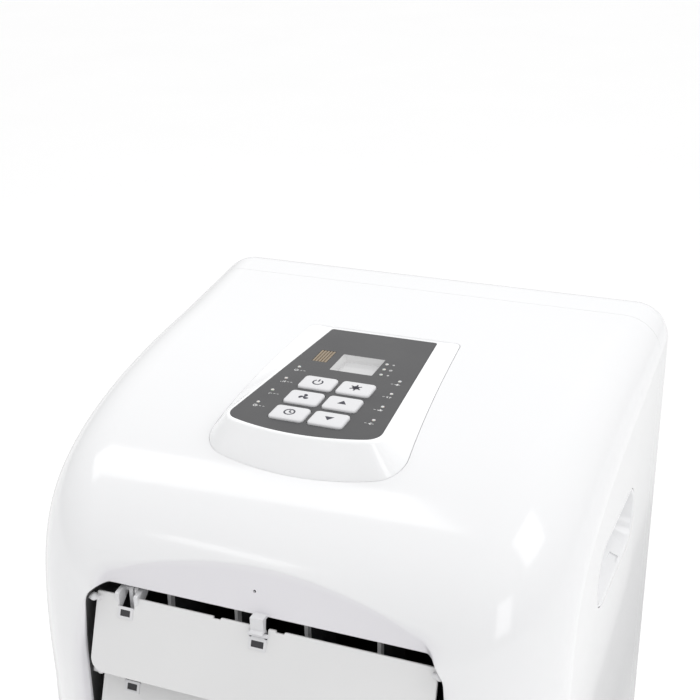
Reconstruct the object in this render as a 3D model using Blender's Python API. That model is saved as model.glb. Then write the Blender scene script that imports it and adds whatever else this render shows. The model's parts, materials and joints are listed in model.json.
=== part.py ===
"""Portable air conditioner on casters, as an assembly of separate pieces.

Metres, +Z up. The origin is on the floor under the middle of the machine. The front, with the
louvers, faces -Y. Most places are given as (x, back, down): sideways from the middle, back from
the front face, and down from the top line, which the helper at() turns into world coordinates.
"""

import math

import bmesh
import bpy
from mathutils import Vector

# Driving dimensions of the cabinet
WIDTH = 0.350
DEPTH = 0.3484
TOP = 0.700  # height of the top line where it meets the back wall
FRONT = -0.1757  # y of the front face at the foot of the hood
WALL = 0.0028
GAP = 0.0003  # clearance between mouldings that touch
FOOT = 0.030  # underside of the skirt
BASE_TOP = 0.088  # seam between the base and the cabinet
BASE_FLOOR = (0.055, 0.058)
SEAM = 0.300  # seam between the front housing and the rear cover, back from the front face
TOP_SLOPE = math.radians(3.84)
FACE_LEAN = math.radians(2.08)
SIDE_TAPER = 0.0112  # narrowing of the half width for each metre below the top line
CROWN_BACK = 0.2353  # where the hood's curve leaves the top line
FACE_DOWN = 0.1931  # where it reaches the front face
CROWN_PULL = 0.661  # handle lengths of the hood's curve, as shares of its chord
FACE_PULL = 0.435
BACK_CORNER = 0.027
EDGE_FRONT = 0.073  # fillet between the skin's profile and the sides: front, crown and back
EDGE_CROWN = 0.036
EDGE_BACK = 0.025
HOOD_STEPS = 12
EDGE_STEPS = 5

# Air outlet: the arch on the skin and the opening behind it
ARCH_HALF = 0.124
ARCH_CROWN = 0.080
ARCH_DROOP = 0.0245
ARCH_FLOOR = 0.238
MOUTH_HALF = 0.112
MOUTH_TOP = 0.108
MOUTH_FLOOR = 0.226
MOUTH_BACK = 0.019
SCOOP_WALL = 0.0035
DUCT_WALL = 0.003
DUCT_BACK = 0.1885

# Louvers
LOUVER_AXIS = (0.0153, 0.1196)  # back, down
LOUVER_PITCH = 0.0538
LOUVER_HALF = 0.1086
LOUVER_TILT = math.radians(19.5)
LOUVER_TOP = 0.0041
LOUVER_REACH = 0.046
LOUVER_SKIN = (0.0009, 0.0033)  # front and back faces, behind the axis
CRANK_BACK = 0.011
CRANK_UP = 0.004
MOTOR_REACH = 0.0467

# Vertical vanes
VANE_X = (-0.069, -0.023, 0.023, 0.069)
VANE_AXIS = 0.046
VANE_PIN = 0.0372

# Control panel: a plane that falls gently to the front
LABEL_REAR = 0.2225
LABEL_REAR_DOWN = 0.0106
LABEL_FALL = 0.0398
PANEL_BACK = 0.150
PANEL_TILT = math.atan(LABEL_FALL)
KEY_X = 0.01295
KEY_BACK = (0.1378, 0.11635, 0.0949)
KEY_SIZE = (0.023, 0.0165)
KEY_GAP = 0.0005
LED_BACK = (0.1575, 0.1396, 0.1217, 0.1038)
LED_X = (0.0350, 0.0361, 0.0372, 0.0384)
UNIT_LED = ((0.0182, 0.1785), (0.0191, 0.1708), (0.0200, 0.1631))
DISPLAY = (0.0, 0.1723, 0.0148, 0.0124)  # x, back, half width, half length
RECEIVER = (-0.0262, 0.1778, 0.0053, 0.0087)

# Handle recesses
HANDLE_BACK = 0.182
HANDLE_DOWN = 0.116
HANDLE_HALF = (0.055, 0.0215)
HANDLE_DEPTH = 0.024

# Back of the machine, heights above the floor
UPPER_GRILLE = (-0.125, 0.125, 0.395, 0.620)
LOWER_GRILLE = (-0.140, -0.012, 0.110, 0.290)
GRILLE_THICK = 0.004
PORT = (0.070, 0.200)
PORT_RADIUS = 0.066
PORT_END = 0.3684
UPPER_DRAIN = (0.110, 0.340)
LOWER_DRAIN = (0.000, 0.073)
GLAND = (-0.115, 0.340)

# Inside
DECK = 0.300
EVAPORATOR_FAN = (0.0, 0.405)
EVAPORATOR_WHEEL = 0.078
CONDENSER_FAN = PORT
CONDENSER_WHEEL = 0.060
SCROLL_FRONT = 0.189
COMPRESSOR = (-0.070, 0.110)
FLOAT = (0.110, 0.090)

# Casters
CASTER_X = 0.118
CASTER_BACK = (0.062, 0.285)
CASTER_TRAIL = 0.014
WHEEL_RADIUS = 0.020
WHEEL_SIDES = 20


# ---------------------------------------------------------------- places

def at(x, back, down):
    return Vector((x, FRONT + back, TOP - down))


def on_floor(x, back, height):
    return Vector((x, FRONT + back, height))


# ---------------------------------------------------------------- materials

def plastic(name, color, roughness, metallic=0.0, coat=0.0):
    material = bpy.data.materials.new(name)
    material.use_nodes = True
    shader = material.node_tree.nodes["Principled BSDF"]
    shader.inputs["Base Color"].default_value = (*color, 1.0)
    shader.inputs["Roughness"].default_value = roughness
    shader.inputs["Metallic"].default_value = metallic
    shader.inputs["Coat Weight"].default_value = coat
    material.diffuse_color = (*color, 1.0)
    return material


def make_materials():
    return {
        "cabinet": plastic("white_cabinet", (0.90, 0.90, 0.90), 0.18, coat=0.3),
        "louver": plastic("grey_white_louver", (0.72, 0.72, 0.71), 0.38),
        "inner": plastic("grey_inner_moulding", (0.55, 0.55, 0.56), 0.50),
        "label": plastic("charcoal_label", (0.030, 0.030, 0.034), 0.35),
        "key": plastic("white_key", (0.88, 0.88, 0.88), 0.35),
        "window": plastic("grey_window", (0.62, 0.62, 0.61), 0.15),
        "lamp": plastic("lamp_lens", (0.60, 0.58, 0.55), 0.25),
        "receiver": plastic("receiver_lens", (0.24, 0.18, 0.11), 0.30),
        "board": plastic("circuit_board", (0.03, 0.16, 0.07), 0.45),
        "grille": plastic("grille", (0.80, 0.80, 0.80), 0.35),
        "filter": plastic("filter_mesh", (0.10, 0.10, 0.11), 0.70),
        "rubber": plastic("rubber", (0.03, 0.03, 0.03), 0.75),
        "tyre": plastic("caster_tyre", (0.05, 0.05, 0.055), 0.55),
        "steel": plastic("steel", (0.45, 0.45, 0.46), 0.35, metallic=1.0),
        "painted": plastic("black_paint", (0.02, 0.02, 0.02), 0.40),
        "fins": plastic("aluminium_fins", (0.70, 0.71, 0.72), 0.45, metallic=1.0),
        "copper": plastic("copper", (0.72, 0.38, 0.24), 0.35, metallic=1.0),
    }


# ---------------------------------------------------------------- mesh helpers

def loft(bm, rings, cyclic=False):
    """A solid through rings of equal length. Cyclic rings close on the first one, like a tube wall."""
    loops = [[bm.verts.new(point) for point in ring] for ring in rings]
    pairs = list(zip(loops, loops[1:]))
    if cyclic:
        pairs.append((loops[-1], loops[0]))
    for a, b in pairs:
        for i in range(len(a)):
            j = (i + 1) % len(a)
            bm.faces.new((a[i], a[j], b[j], b[i]))
    if not cyclic:
        bm.faces.new(reversed(loops[0]))
        bm.faces.new(loops[-1])


def box(bm, lo, hi):
    corners = ((lo[0], lo[1]), (hi[0], lo[1]), (hi[0], hi[1]), (lo[0], hi[1]))
    loft(bm, [[Vector((x, y, z)) for x, y in corners] for z in (lo[2], hi[2])])


def circle(centre, axis, radius, sides, turn=0.0):
    """Points round an axis, which is a unit vector along X, Y or Z."""
    axis = Vector(axis)
    across = Vector((0, 0, 1)) if abs(axis.z) < 0.5 else Vector((1, 0, 0))
    third = axis.cross(across)
    points = []
    for i in range(sides):
        angle = turn + math.tau * i / sides
        points.append(Vector(centre) + radius * (math.cos(angle) * across + math.sin(angle) * third))
    return points


def turned(bm, base, axis, profile, sides, closed=False, turn=0.0):
    """Profile is (radius, distance along the axis). A closed profile makes a ring with a bore."""
    rings = [circle(Vector(base) + Vector(axis) * h, axis, r, sides, turn) for r, h in profile]
    loft(bm, rings, cyclic=closed)


def cylinder(bm, base, axis, radius, length, sides=16):
    turned(bm, base, axis, ((radius, 0.0), (radius, length)), sides)


def tube(bm, base, axis, outer, inner, length, sides=24):
    profile = ((outer, 0.0), (outer, length), (inner, length), (inner, 0.0))
    turned(bm, base, axis, profile, sides, closed=True)


def prism_x(bm, outline, x0, x1, place=at):
    """Extrudes an outline of (back, down) pairs from x0 to x1."""
    loft(bm, [[place(x, back, down) for back, down in outline] for x in (x0, x1)])


def prism_y(bm, outline, back0, back1):
    """Extrudes an outline of (x, height above the floor) pairs from back0 to back1."""
    loft(bm, [[on_floor(x, back, height) for x, height in outline] for back in (back0, back1)])


def fillet(points, radii, steps):
    """Rounds the corners of a polygon of 2-D points with arcs."""
    rounded = []
    count = len(points)
    for i, radius in enumerate(radii):
        corner = Vector(points[i])
        if not radius:
            rounded.append(corner)
            continue
        before = (Vector(points[i - 1]) - corner).normalized()
        after = (Vector(points[(i + 1) % count]) - corner).normalized()
        half = before.angle(after) / 2
        centre = corner + (before + after).normalized() * radius / math.sin(half)
        start = corner + before * radius / math.tan(half) - centre
        end = corner + after * radius / math.tan(half) - centre
        for k in range(steps + 1):
            share = k / steps
            rounded.append(centre + start.slerp(end, share).normalized() * radius)
    return rounded


def rounded_box(half_x, half_y, radius, steps=3):
    corners = ((half_x, half_y), (-half_x, half_y), (-half_x, -half_y), (half_x, -half_y))
    return fillet(corners, (radius,) * 4, steps)


def slot_outline(length, radius, steps=8):
    """A bar with round ends, along the first axis from 0 to length."""
    arcs = ((length, -90), (0.0, 90))
    points = []
    for centre, start in arcs:
        for k in range(steps + 1):
            angle = math.radians(start + 180 * k / steps)
            points.append((centre + radius * math.cos(angle), radius * math.sin(angle)))
    return points


def add_object(name, bm, material=None, origin=(0, 0, 0), parent=None):
    """Makes an object from a mesh drawn in its parent's frame, with its origin at the given point."""
    bmesh.ops.recalc_face_normals(bm, faces=bm.faces)
    bmesh.ops.translate(bm, verts=bm.verts, vec=-Vector(origin))
    mesh = bpy.data.meshes.new(name)
    bm.to_mesh(mesh)
    bm.free()
    mesh.shade_smooth()
    mesh.set_sharp_from_angle(angle=math.radians(32))
    if material:
        mesh.materials.append(material)
    thing = bpy.data.objects.new(name, mesh)
    thing.location = origin
    thing.parent = parent
    bpy.context.scene.collection.objects.link(thing)
    return thing


def tool(name, bm, parent=None):
    """A cutter or a piece to join on, which isn't part of the model itself."""
    thing = add_object(name, bm, parent=parent)
    thing.hide_render = True
    thing.display_type = "WIRE"
    return thing


def combine(thing, other, operation):
    modifier = thing.modifiers.new(other.name, "BOOLEAN")
    modifier.operation = operation
    modifier.solver = "EXACT"
    modifier.object = other


def cut(thing, other):
    combine(thing, other, "DIFFERENCE")


def join(thing, other):
    combine(thing, other, "UNION")


# ---------------------------------------------------------------- the cabinet's skin

def skin_profile(foot):
    """The skin in side view, from the foot of the front over the hood to the foot of the back.

    Each entry is (back, height above the floor, fillet radius to the sides).
    """
    def top_line(back):
        return TOP - (DEPTH - back) * math.tan(TOP_SLOPE)

    face = Vector((0.0, TOP - FACE_DOWN))
    crown = Vector((CROWN_BACK, top_line(CROWN_BACK)))
    chord = (crown - face).length
    lean = Vector((math.sin(FACE_LEAN), math.cos(FACE_LEAN)))
    slope = Vector((math.cos(TOP_SLOPE), math.sin(TOP_SLOPE)))
    pull_up = face + lean * FACE_PULL * chord
    pull_on = crown - slope * CROWN_PULL * chord
    lowest = face + lean * (foot - face.y) / lean.y
    profile = [(lowest.x, lowest.y, EDGE_FRONT)]
    for i in range(HOOD_STEPS + 1):
        t = i / HOOD_STEPS
        s = 1 - t
        point = s**3 * face + 3 * s * s * t * pull_up + 3 * s * t * t * pull_on + t**3 * crown
        profile.append((point.x, point.y, EDGE_FRONT * s + EDGE_CROWN * t))
    hub = DEPTH - BACK_CORNER
    for i in range(6):
        angle = math.pi / 2 * i / 5
        back = hub + BACK_CORNER * math.sin(angle)
        height = top_line(hub) - BACK_CORNER * (1 - math.cos(angle))
        profile.append((back, height, EDGE_BACK))
    profile.append((DEPTH, foot, EDGE_BACK))
    return profile


def skin_height(back):
    """Height of the top surface at a place back from the front face."""
    profile = skin_profile(FOOT)
    for (y0, z0, _), (y1, z1, _) in zip(profile[1:], profile[2:]):
        if y0 <= back <= y1 and y1 > y0:
            return z0 + (z1 - z0) * (back - y0) / (y1 - y0)
    return profile[1][1]


def skin_back(x, height):
    """Distance back of the front surface at a height, beside the middle."""
    profile = skin_profile(FOOT)
    for (y0, z0, r0), (y1, z1, r1) in zip(profile, profile[1:]):
        if z0 <= height <= z1:
            t = (height - z0) / (z1 - z0)
            radius = r0 + (r1 - r0) * t
            over = abs(x) - (half_width(height) - radius)
            edge = radius - math.sqrt(max(radius**2 - max(over, 0.0) ** 2, 0.0))
            return y0 + (y1 - y0) * t + edge
    return profile[1][0]


def half_width(height):
    return WIDTH / 2 - SIDE_TAPER * (TOP - height)


def body_solid(inset, foot, steps=EDGE_STEPS):
    """The whole cabinet as one solid, with its skin moved in by inset."""
    profile = skin_profile(foot)
    rings = []
    for i, (back, height, radius) in enumerate(profile):
        before = profile[max(i - 1, 0)]
        after = profile[min(i + 1, len(profile) - 1)]
        along = Vector((after[0] - before[0], after[1] - before[1])).normalized()
        inward = Vector((along.y, -along.x))
        edge = radius - inset
        side = []
        for k in range(steps + 1):
            angle = math.pi / 2 * k / steps
            depth = inset + edge * (1 - math.sin(angle))
            y = back + inward.x * depth
            z = height + inward.y * depth
            x = half_width(z) - inset - edge * (1 - math.cos(angle))
            side.append((x, y, z))
        left = [on_floor(-x, y, z) for x, y, z in side]
        right = [on_floor(x, y, z) for x, y, z in reversed(side)]
        rings.append(left + right)
    bm = bmesh.new()
    loops = [[bm.verts.new(point) for point in ring] for ring in rings]
    for a, b in zip(loops, loops[1:]):
        for i in range(len(a) - 1):
            bm.faces.new((a[i], a[i + 1], b[i + 1], b[i]))
    bm.faces.new([loop[0] for loop in loops])
    bm.faces.new([loop[-1] for loop in reversed(loops)])
    bm.faces.new(loops[0][::-1] + loops[-1])
    bmesh.ops.recalc_face_normals(bm, faces=bm.faces)
    return bm


def slice_off(bm, point, normal):
    """Takes away what lies beyond a plane, on its normal's side, and closes the cut."""
    geometry = bm.verts[:] + bm.edges[:] + bm.faces[:]
    result = bmesh.ops.bisect_plane(
        bm, geom=geometry, dist=1e-7, plane_co=point, plane_no=normal, clear_outer=True
    )
    edges = [item for item in result["geom_cut"] if isinstance(item, bmesh.types.BMEdge)]
    bmesh.ops.edgeloop_fill(bm, edges=edges)


def sliced_body(inset, low=None, high=None, front=None, rear=None):
    """The cabinet's solid between two heights and two distances from the front face."""
    bm = body_solid(inset, FOOT - 0.03)
    if low is not None:
        slice_off(bm, (0, 0, low), (0, 0, -1))
    if high is not None:
        slice_off(bm, (0, 0, high), (0, 0, 1))
    if front is not None:
        slice_off(bm, (0, FRONT + front, 0), (0, -1, 0))
    if rear is not None:
        slice_off(bm, (0, FRONT + rear, 0), (0, 1, 0))
    return bm


# ---------------------------------------------------------------- air outlet

def arch_half(half, crown, droop, floor, corner, floor_corner):
    """Right half of an arched outline, from the middle of its top to the middle of its floor."""
    points = []
    shoulder = half - corner
    for i in range(7):
        x = shoulder * i / 6
        points.append((x, crown + droop * (x / half) ** 2))
    drop = points[-1][1] + corner
    for i in range(1, 5):
        angle = math.pi / 2 * i / 4
        points.append((shoulder + corner * math.sin(angle), drop - corner * math.cos(angle)))
    for i in range(5):
        angle = math.pi / 2 * i / 4
        x = half - floor_corner * (1 - math.cos(angle))
        points.append((x, floor - floor_corner * (1 - math.sin(angle))))
    points.append((0.0, floor))
    return points


def arch_ring(grow):
    right = arch_half(
        ARCH_HALF + grow, ARCH_CROWN - grow, ARCH_DROOP, ARCH_FLOOR + grow, 0.014 + grow, 0.016 + grow
    )
    outline = right + [(-x, down) for x, down in reversed(right[1:-1])]
    return [at(x, skin_back(x, TOP - down), down) for x, down in outline]


def mouth_ring(grow, back):
    right = arch_half(
        MOUTH_HALF + grow, MOUTH_TOP - grow, 0.0, MOUTH_FLOOR + grow, 0.018 + grow, 0.010 + grow
    )
    outline = right + [(-x, down) for x, down in reversed(right[1:-1])]
    return [at(x, back, down) for x, down in outline]


def scoop_solid(grow, backs):
    """The funnel from in front of the skin to the mouth, then straight back."""
    arch = arch_ring(grow)
    mouth = mouth_ring(grow, backs[0])
    ahead = [a + (a - m) * 0.6 for a, m in zip(arch, mouth)]
    outside = [Vector((point.x, FRONT - 0.030, point.z)) for point in ahead]
    bm = bmesh.new()
    loft(bm, [outside, ahead, mouth] + [mouth_ring(grow, back) for back in backs[1:]])
    return bm


def louver_pivots():
    back, down = LOUVER_AXIS
    return ((back, down), (back, down + LOUVER_PITCH))


def front_housing(materials):
    skin = sliced_body(0.0, low=BASE_TOP + GAP, rear=SEAM)
    housing = add_object("front_housing", skin, materials["cabinet"])
    hollow = tool("housing_hollow", body_solid(WALL, FOOT - 0.03))
    cut(hollow, tool("outlet_block", scoop_solid(SCOOP_WALL, (MOUTH_BACK + 0.003,))))
    cut(housing, hollow)
    cut(housing, tool("outlet_scoop", scoop_solid(0.0, (MOUTH_BACK, MOUTH_BACK + 0.010))))
    cut(housing, tool("pod_opening", pod_opening()))
    cut(housing, tool("handle_openings", handle_openings()))
    small = bmesh.new()
    for back, down in louver_pivots():
        for side in (-1, 1):
            cylinder(small, at(side * 0.1075, back, down), (side, 0, 0), 0.0025, 0.0115, 12)
    cylinder(small, at(-0.003, 0.005, 0.093), (0, 1, 0), 0.0008, 0.030, 8)
    cut(housing, tool("housing_holes", small))


def outlet_frame(materials):
    bm = bmesh.new()
    front = MOUTH_BACK + 0.0035
    outer = ((0.1155, 0.1045), (0.1155, 0.2295), (-0.1155, 0.2295), (-0.1155, 0.1045))
    inner = [
        (math.copysign(abs(x) - DUCT_WALL, x), down + (DUCT_WALL if down < 0.2 else -DUCT_WALL))
        for x, down in outer
    ]
    rings = []
    for outline, back in ((outer, front), (outer, DUCT_BACK), (inner, DUCT_BACK), (inner, front)):
        rings.append([at(x, back, down) for x, down in outline])
    loft(bm, rings, cyclic=True)
    frame = add_object("outlet_frame", bm, materials["inner"])
    holes = bmesh.new()
    for x in VANE_X:
        cylinder(holes, at(x, VANE_AXIS, 0.109), (0, 0, 1), 0.0021, 0.008, 10)
        cylinder(holes, at(x, VANE_AXIS, 0.231), (0, 0, 1), 0.0021, 0.008, 10)
    back, down = LOUVER_AXIS
    cylinder(holes, at(-0.118, back + MOTOR_REACH, down), (1, 0, 0), 0.0032, 0.008, 12)
    cut(frame, tool("outlet_frame_holes", holes))


def blade_point(pivot, x, s, n):
    """A place on a louver: s along the blade away from its top edge, n behind the axis."""
    back, down = pivot
    sin_t = math.sin(LOUVER_TILT)
    cos_t = math.cos(LOUVER_TILT)
    return at(x, back - s * sin_t + n * cos_t, down + s * cos_t + n * sin_t)


def louver(materials, name, pivot):
    """A blade with end pins, a hinge bar in its middle notch and a crank between two ears."""
    half = LOUVER_HALF
    top = -LOUVER_TOP
    notches = ((-0.0945, -0.0838, 0.0030), (-0.008, 0.008, 0.0040))
    outline = [(-half, top)]
    for left, right, depth in notches:
        outline += [(left, top), (left, depth), (right, depth), (right, top)]
    outline += [(half, top), (half, LOUVER_REACH), (-half, LOUVER_REACH)]
    radii = [0.0] * (len(outline) - 2) + [0.009, 0.009]
    points = fillet(outline, radii, 4)
    bm = bmesh.new()
    loft(bm, [[blade_point(pivot, x, s, n) for x, s in points] for n in LOUVER_SKIN])
    back, down = pivot
    axis = at(0, back, down)
    blade = add_object(name, bm, materials["louver"], origin=axis)
    ears = bmesh.new()
    crank = (back + CRANK_BACK, down - CRANK_UP)
    ear = (
        (back + 0.0005, down - 0.0055),
        (crank[0] - 0.0005, crank[1] - 0.0030),
        (crank[0] + 0.0026, crank[1] - 0.0015),
        (crank[0] + 0.0026, crank[1] + 0.0018),
        (back + 0.0010, down + 0.0080),
    )
    for x0, x1 in ((-0.0972, -0.0942), (-0.0841, -0.0811)):
        prism_x(ears, ear, x0, x1)
    join(blade, tool(name + "_ears", ears))
    pins = bmesh.new()
    for side in (-1, 1):
        cylinder(pins, at(side * (half - 0.002), back, down), (side, 0, 0), 0.0020, 0.0105, 12)
    cylinder(pins, at(-0.0088, back, down + 0.0002), (1, 0, 0), 0.0014, 0.0176, 10)
    cylinder(pins, at(-0.0962, *crank), (1, 0, 0), 0.0016, 0.0142, 10)
    join(blade, tool(name + "_pins", pins))


def hinge_arm(materials):
    """A fixed arm on the duct's roof, with an open hook round the upper louver's middle bar."""
    bm = bmesh.new()
    back, down = LOUVER_AXIS
    ring = []
    for radius, start, sweep in ((0.0036, 150, -250), (0.0019, -100, 250)):
        for k in range(9):
            angle = math.radians(start + sweep * k / 8)
            ring.append((back + radius * math.cos(angle), down - radius * math.sin(angle)))
    prism_x(bm, ring, -0.00425, 0.00425)
    arm = add_object("hinge_arm", bm, materials["louver"])
    foot = bmesh.new()
    outline = (
        (back - 0.0012, down - 0.0028),
        (back - 0.0012, 0.1083),
        (0.0250, 0.1083),
        (0.0250, 0.1078),
        (0.0330, 0.1078),
        (0.0330, 0.1103),
        (back + 0.0030, 0.1103),
        (back + 0.0022, down - 0.0026),
    )
    prism_x(foot, outline, -0.0042, 0.0042)
    join(arm, tool("hinge_arm_foot", foot))


def linkage(materials):
    """The bar that ties the two louvers, and the rod and arm that drive them from the motor."""
    back, down = LOUVER_AXIS
    crank = (back + CRANK_BACK, down - CRANK_UP)
    radius = 0.0032

    link = bmesh.new()
    bar = [(crank[0] + y, crank[1] + s) for s, y in slot_outline(LOUVER_PITCH, radius)]
    prism_x(link, bar, -0.0912, -0.0886)
    piece = add_object("louver_link", link, materials["louver"], origin=at(-0.09, *crank))
    holes = bmesh.new()
    for step in (0.0, LOUVER_PITCH):
        cylinder(holes, at(-0.093, crank[0], crank[1] + step), (1, 0, 0), 0.0020, 0.008, 12)
    cut(piece, tool("louver_link_holes", holes))

    rod = bmesh.new()
    bar = [(crank[0] + s, crank[1] + y) for s, y in slot_outline(MOTOR_REACH, radius)]
    prism_x(rod, bar, -0.0876, -0.0850)
    piece = add_object("drive_rod", rod, materials["louver"], origin=at(-0.0863, *crank))
    holes = bmesh.new()
    for step in (0.0, MOTOR_REACH):
        cylinder(holes, at(-0.090, crank[0] + step, crank[1]), (1, 0, 0), 0.0020, 0.008, 12)
    cut(piece, tool("drive_rod_holes", holes))

    shaft = (back + MOTOR_REACH, down)
    arm = bmesh.new()
    bar = []
    reach = math.hypot(CRANK_BACK, CRANK_UP)
    turn = math.atan2(CRANK_UP, CRANK_BACK)
    for s, y in slot_outline(reach, 0.0036):
        bar.append(
            (
                shaft[0] + s * math.cos(turn) - y * math.sin(turn),
                shaft[1] - s * math.sin(turn) - y * math.cos(turn),
            )
        )
    prism_x(arm, bar, -0.0910, -0.0882)
    piece = add_object("motor_arm", arm, materials["louver"], origin=at(-0.0896, *shaft))
    pins = bmesh.new()
    cylinder(pins, at(-0.1195, *shaft), (1, 0, 0), 0.0025, 0.0300, 12)
    cylinder(pins, at(-0.0890, crank[0] + MOTOR_REACH, crank[1]), (1, 0, 0), 0.0016, 0.0045, 10)
    join(piece, tool("motor_arm_pins", pins))

    case = bmesh.new()
    profile = ((0.0140, 0.0), (0.0140, 0.0190))
    turned(case, at(-0.1360, shaft[0] + 0.004, shaft[1]), (1, 0, 0), profile, 20)
    motor = add_object("swing_motor", case, materials["steel"])
    lugs = bmesh.new()
    lug = [(shaft[0] + 0.004 - 0.0175 + s, shaft[1] + y) for s, y in slot_outline(0.035, 0.0035)]
    prism_x(lugs, lug, -0.1185, -0.1165)
    join(motor, tool("swing_motor_lugs", lugs))
    bore = bmesh.new()
    cylinder(bore, at(-0.1205, *shaft), (1, 0, 0), 0.0031, 0.006, 12)
    cut(motor, tool("swing_motor_bore", bore))


def vanes(materials):
    """Upright vanes with a pivot tab at each end and a post for the tie bar."""
    tab = 0.0015
    outline = (
        (0.0340, 0.1095),
        (VANE_AXIS - tab, 0.1095),
        (VANE_AXIS - tab, 0.1058),
        (VANE_AXIS + tab, 0.1058),
        (VANE_AXIS + tab, 0.1095),
        (0.0740, 0.1095),
        (0.0740, 0.2245),
        (VANE_AXIS + tab, 0.2245),
        (VANE_AXIS + tab, 0.2282),
        (VANE_AXIS - tab, 0.2282),
        (VANE_AXIS - tab, 0.2245),
        (0.0340, 0.2245),
        (0.0340, 0.1580),
        (VANE_PIN - 0.001, 0.1580),
        (VANE_PIN - 0.001, 0.1510),
        (VANE_PIN + 0.001, 0.1510),
        (VANE_PIN + 0.001, 0.1580),
        (0.0410, 0.1580),
        (0.0410, 0.1480),
        (0.0340, 0.1480),
    )
    for number, x in enumerate(VANE_X, 1):
        bm = bmesh.new()
        prism_x(bm, outline, x - 0.0008, x + 0.0008)
        origin = at(x, VANE_AXIS, 0.167)
        add_object(f"vane_{number}", bm, materials["louver"], origin=origin)
    bm = bmesh.new()
    box(bm, at(-0.0745, VANE_PIN - 0.0025, 0.1555), at(0.0745, VANE_PIN + 0.0025, 0.1535))
    bar = add_object("vane_tie_bar", bm, materials["louver"], origin=at(VANE_X[0], VANE_PIN, 0.1545))
    holes = bmesh.new()
    for x in VANE_X:
        cylinder(holes, at(x, VANE_PIN, 0.160), (0, 0, 1), 0.0018, 0.010, 8)
    cut(bar, tool("vane_tie_bar_holes", holes))


# ---------------------------------------------------------------- control panel

def panel_outline(half_rear, half_front, rear, shoulder, nose, rear_corner, front_corner):
    """A trapezoid with a bowed front edge, as (x, back) pairs."""
    right = [(half_rear, rear), (half_front, shoulder)]
    radii = [rear_corner, front_corner]
    bow = []
    for share in (0.72, 0.48, 0.24, 0.0):
        x = half_front * share
        bow.append((x, nose + (shoulder - nose) * share**2))
    points = right + bow + [(-x, y) for x, y in reversed(bow[:-1])] + [(-x, y) for x, y in reversed(right)]
    corners = radii + [0.0] * 7 + radii[::-1]
    return fillet(points, corners, 4)


def label_height(back):
    return TOP - LABEL_REAR_DOWN - LABEL_FALL * (LABEL_REAR - back)


def pod_rim(inset):
    return panel_outline(
        0.0415 - inset, 0.0522 - inset, 0.2240 - inset, 0.0806 + inset, 0.0713 + inset, 0.003, 0.012
    )


def pod_foot(inset):
    return panel_outline(
        0.0520 - inset, 0.0690 - inset, 0.2245 - inset, 0.0770 + inset, 0.0680 + inset, 0.006, 0.020
    )


def pod_opening():
    bm = bmesh.new()
    outline = pod_foot(-GAP)
    loft(bm, [[on_floor(x, y, z) for x, y in outline] for z in (TOP - 0.080, TOP + 0.010)])
    return bm


def pod_solid(inset, below, skirt):
    rim = [on_floor(x, y, label_height(y) - below) for x, y in pod_rim(inset)]
    foot = [on_floor(x, y, skin_height(y) - below) for x, y in pod_foot(inset)]
    skirt_ring = [on_floor(x, y, TOP - skirt) for x, y in pod_foot(inset)]
    bm = bmesh.new()
    loft(bm, [skirt_ring, foot, rim])
    return bm


def on_panel(x, back, w):
    """A place in the panel's own frame, where w is the height above the label's face."""
    return Vector((x, (back - PANEL_BACK) / math.cos(PANEL_TILT), w))


def panel_box(bm, x, back, half_x, half_back, w0, w1):
    box(bm, on_panel(x - half_x, back - half_back, w0), on_panel(x + half_x, back + half_back, w1))


def key_places():
    left = ("button_power", "button_fan", "button_timer")
    right = ("button_mode", "button_up", "button_down")
    places = []
    for names, x in ((left, -KEY_X), (right, KEY_X)):
        for name, back in zip(names, KEY_BACK):
            places.append((name, x, back))
    return places


def lamp_places():
    places = list(UNIT_LED)
    for x, back in zip(LED_X, LED_BACK):
        places += [(-x, back), (x, back)]
    return places


def lamp_guide(materials, plane):
    """Clear moulding under the pod's face, with a light pipe up to each lamp hole."""
    outline = (
        (-0.0435, 0.1620),
        (-0.0435, 0.0985),
        (-0.0330, 0.0790),
        (0.0330, 0.0790),
        (0.0435, 0.0985),
        (0.0435, 0.1820),
        (0.0165, 0.1820),
        (0.0165, 0.1592),
        (0.0305, 0.1592),
        (0.0305, 0.0835),
        (-0.0305, 0.0835),
        (-0.0305, 0.1620),
    )
    bm = bmesh.new()
    loft(bm, [[on_panel(x, back, w) for x, back in outline] for w in (-0.0062, -0.0048)])
    guide = add_object("lamp_guide", bm, materials["lamp"], parent=plane)
    pipes = bmesh.new()
    for x, back in lamp_places():
        cylinder(pipes, on_panel(x, back, -0.0055), (0, 0, 1), 0.0010, 0.0056, 6)
    join(guide, tool("light_pipes", pipes, plane))


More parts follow.
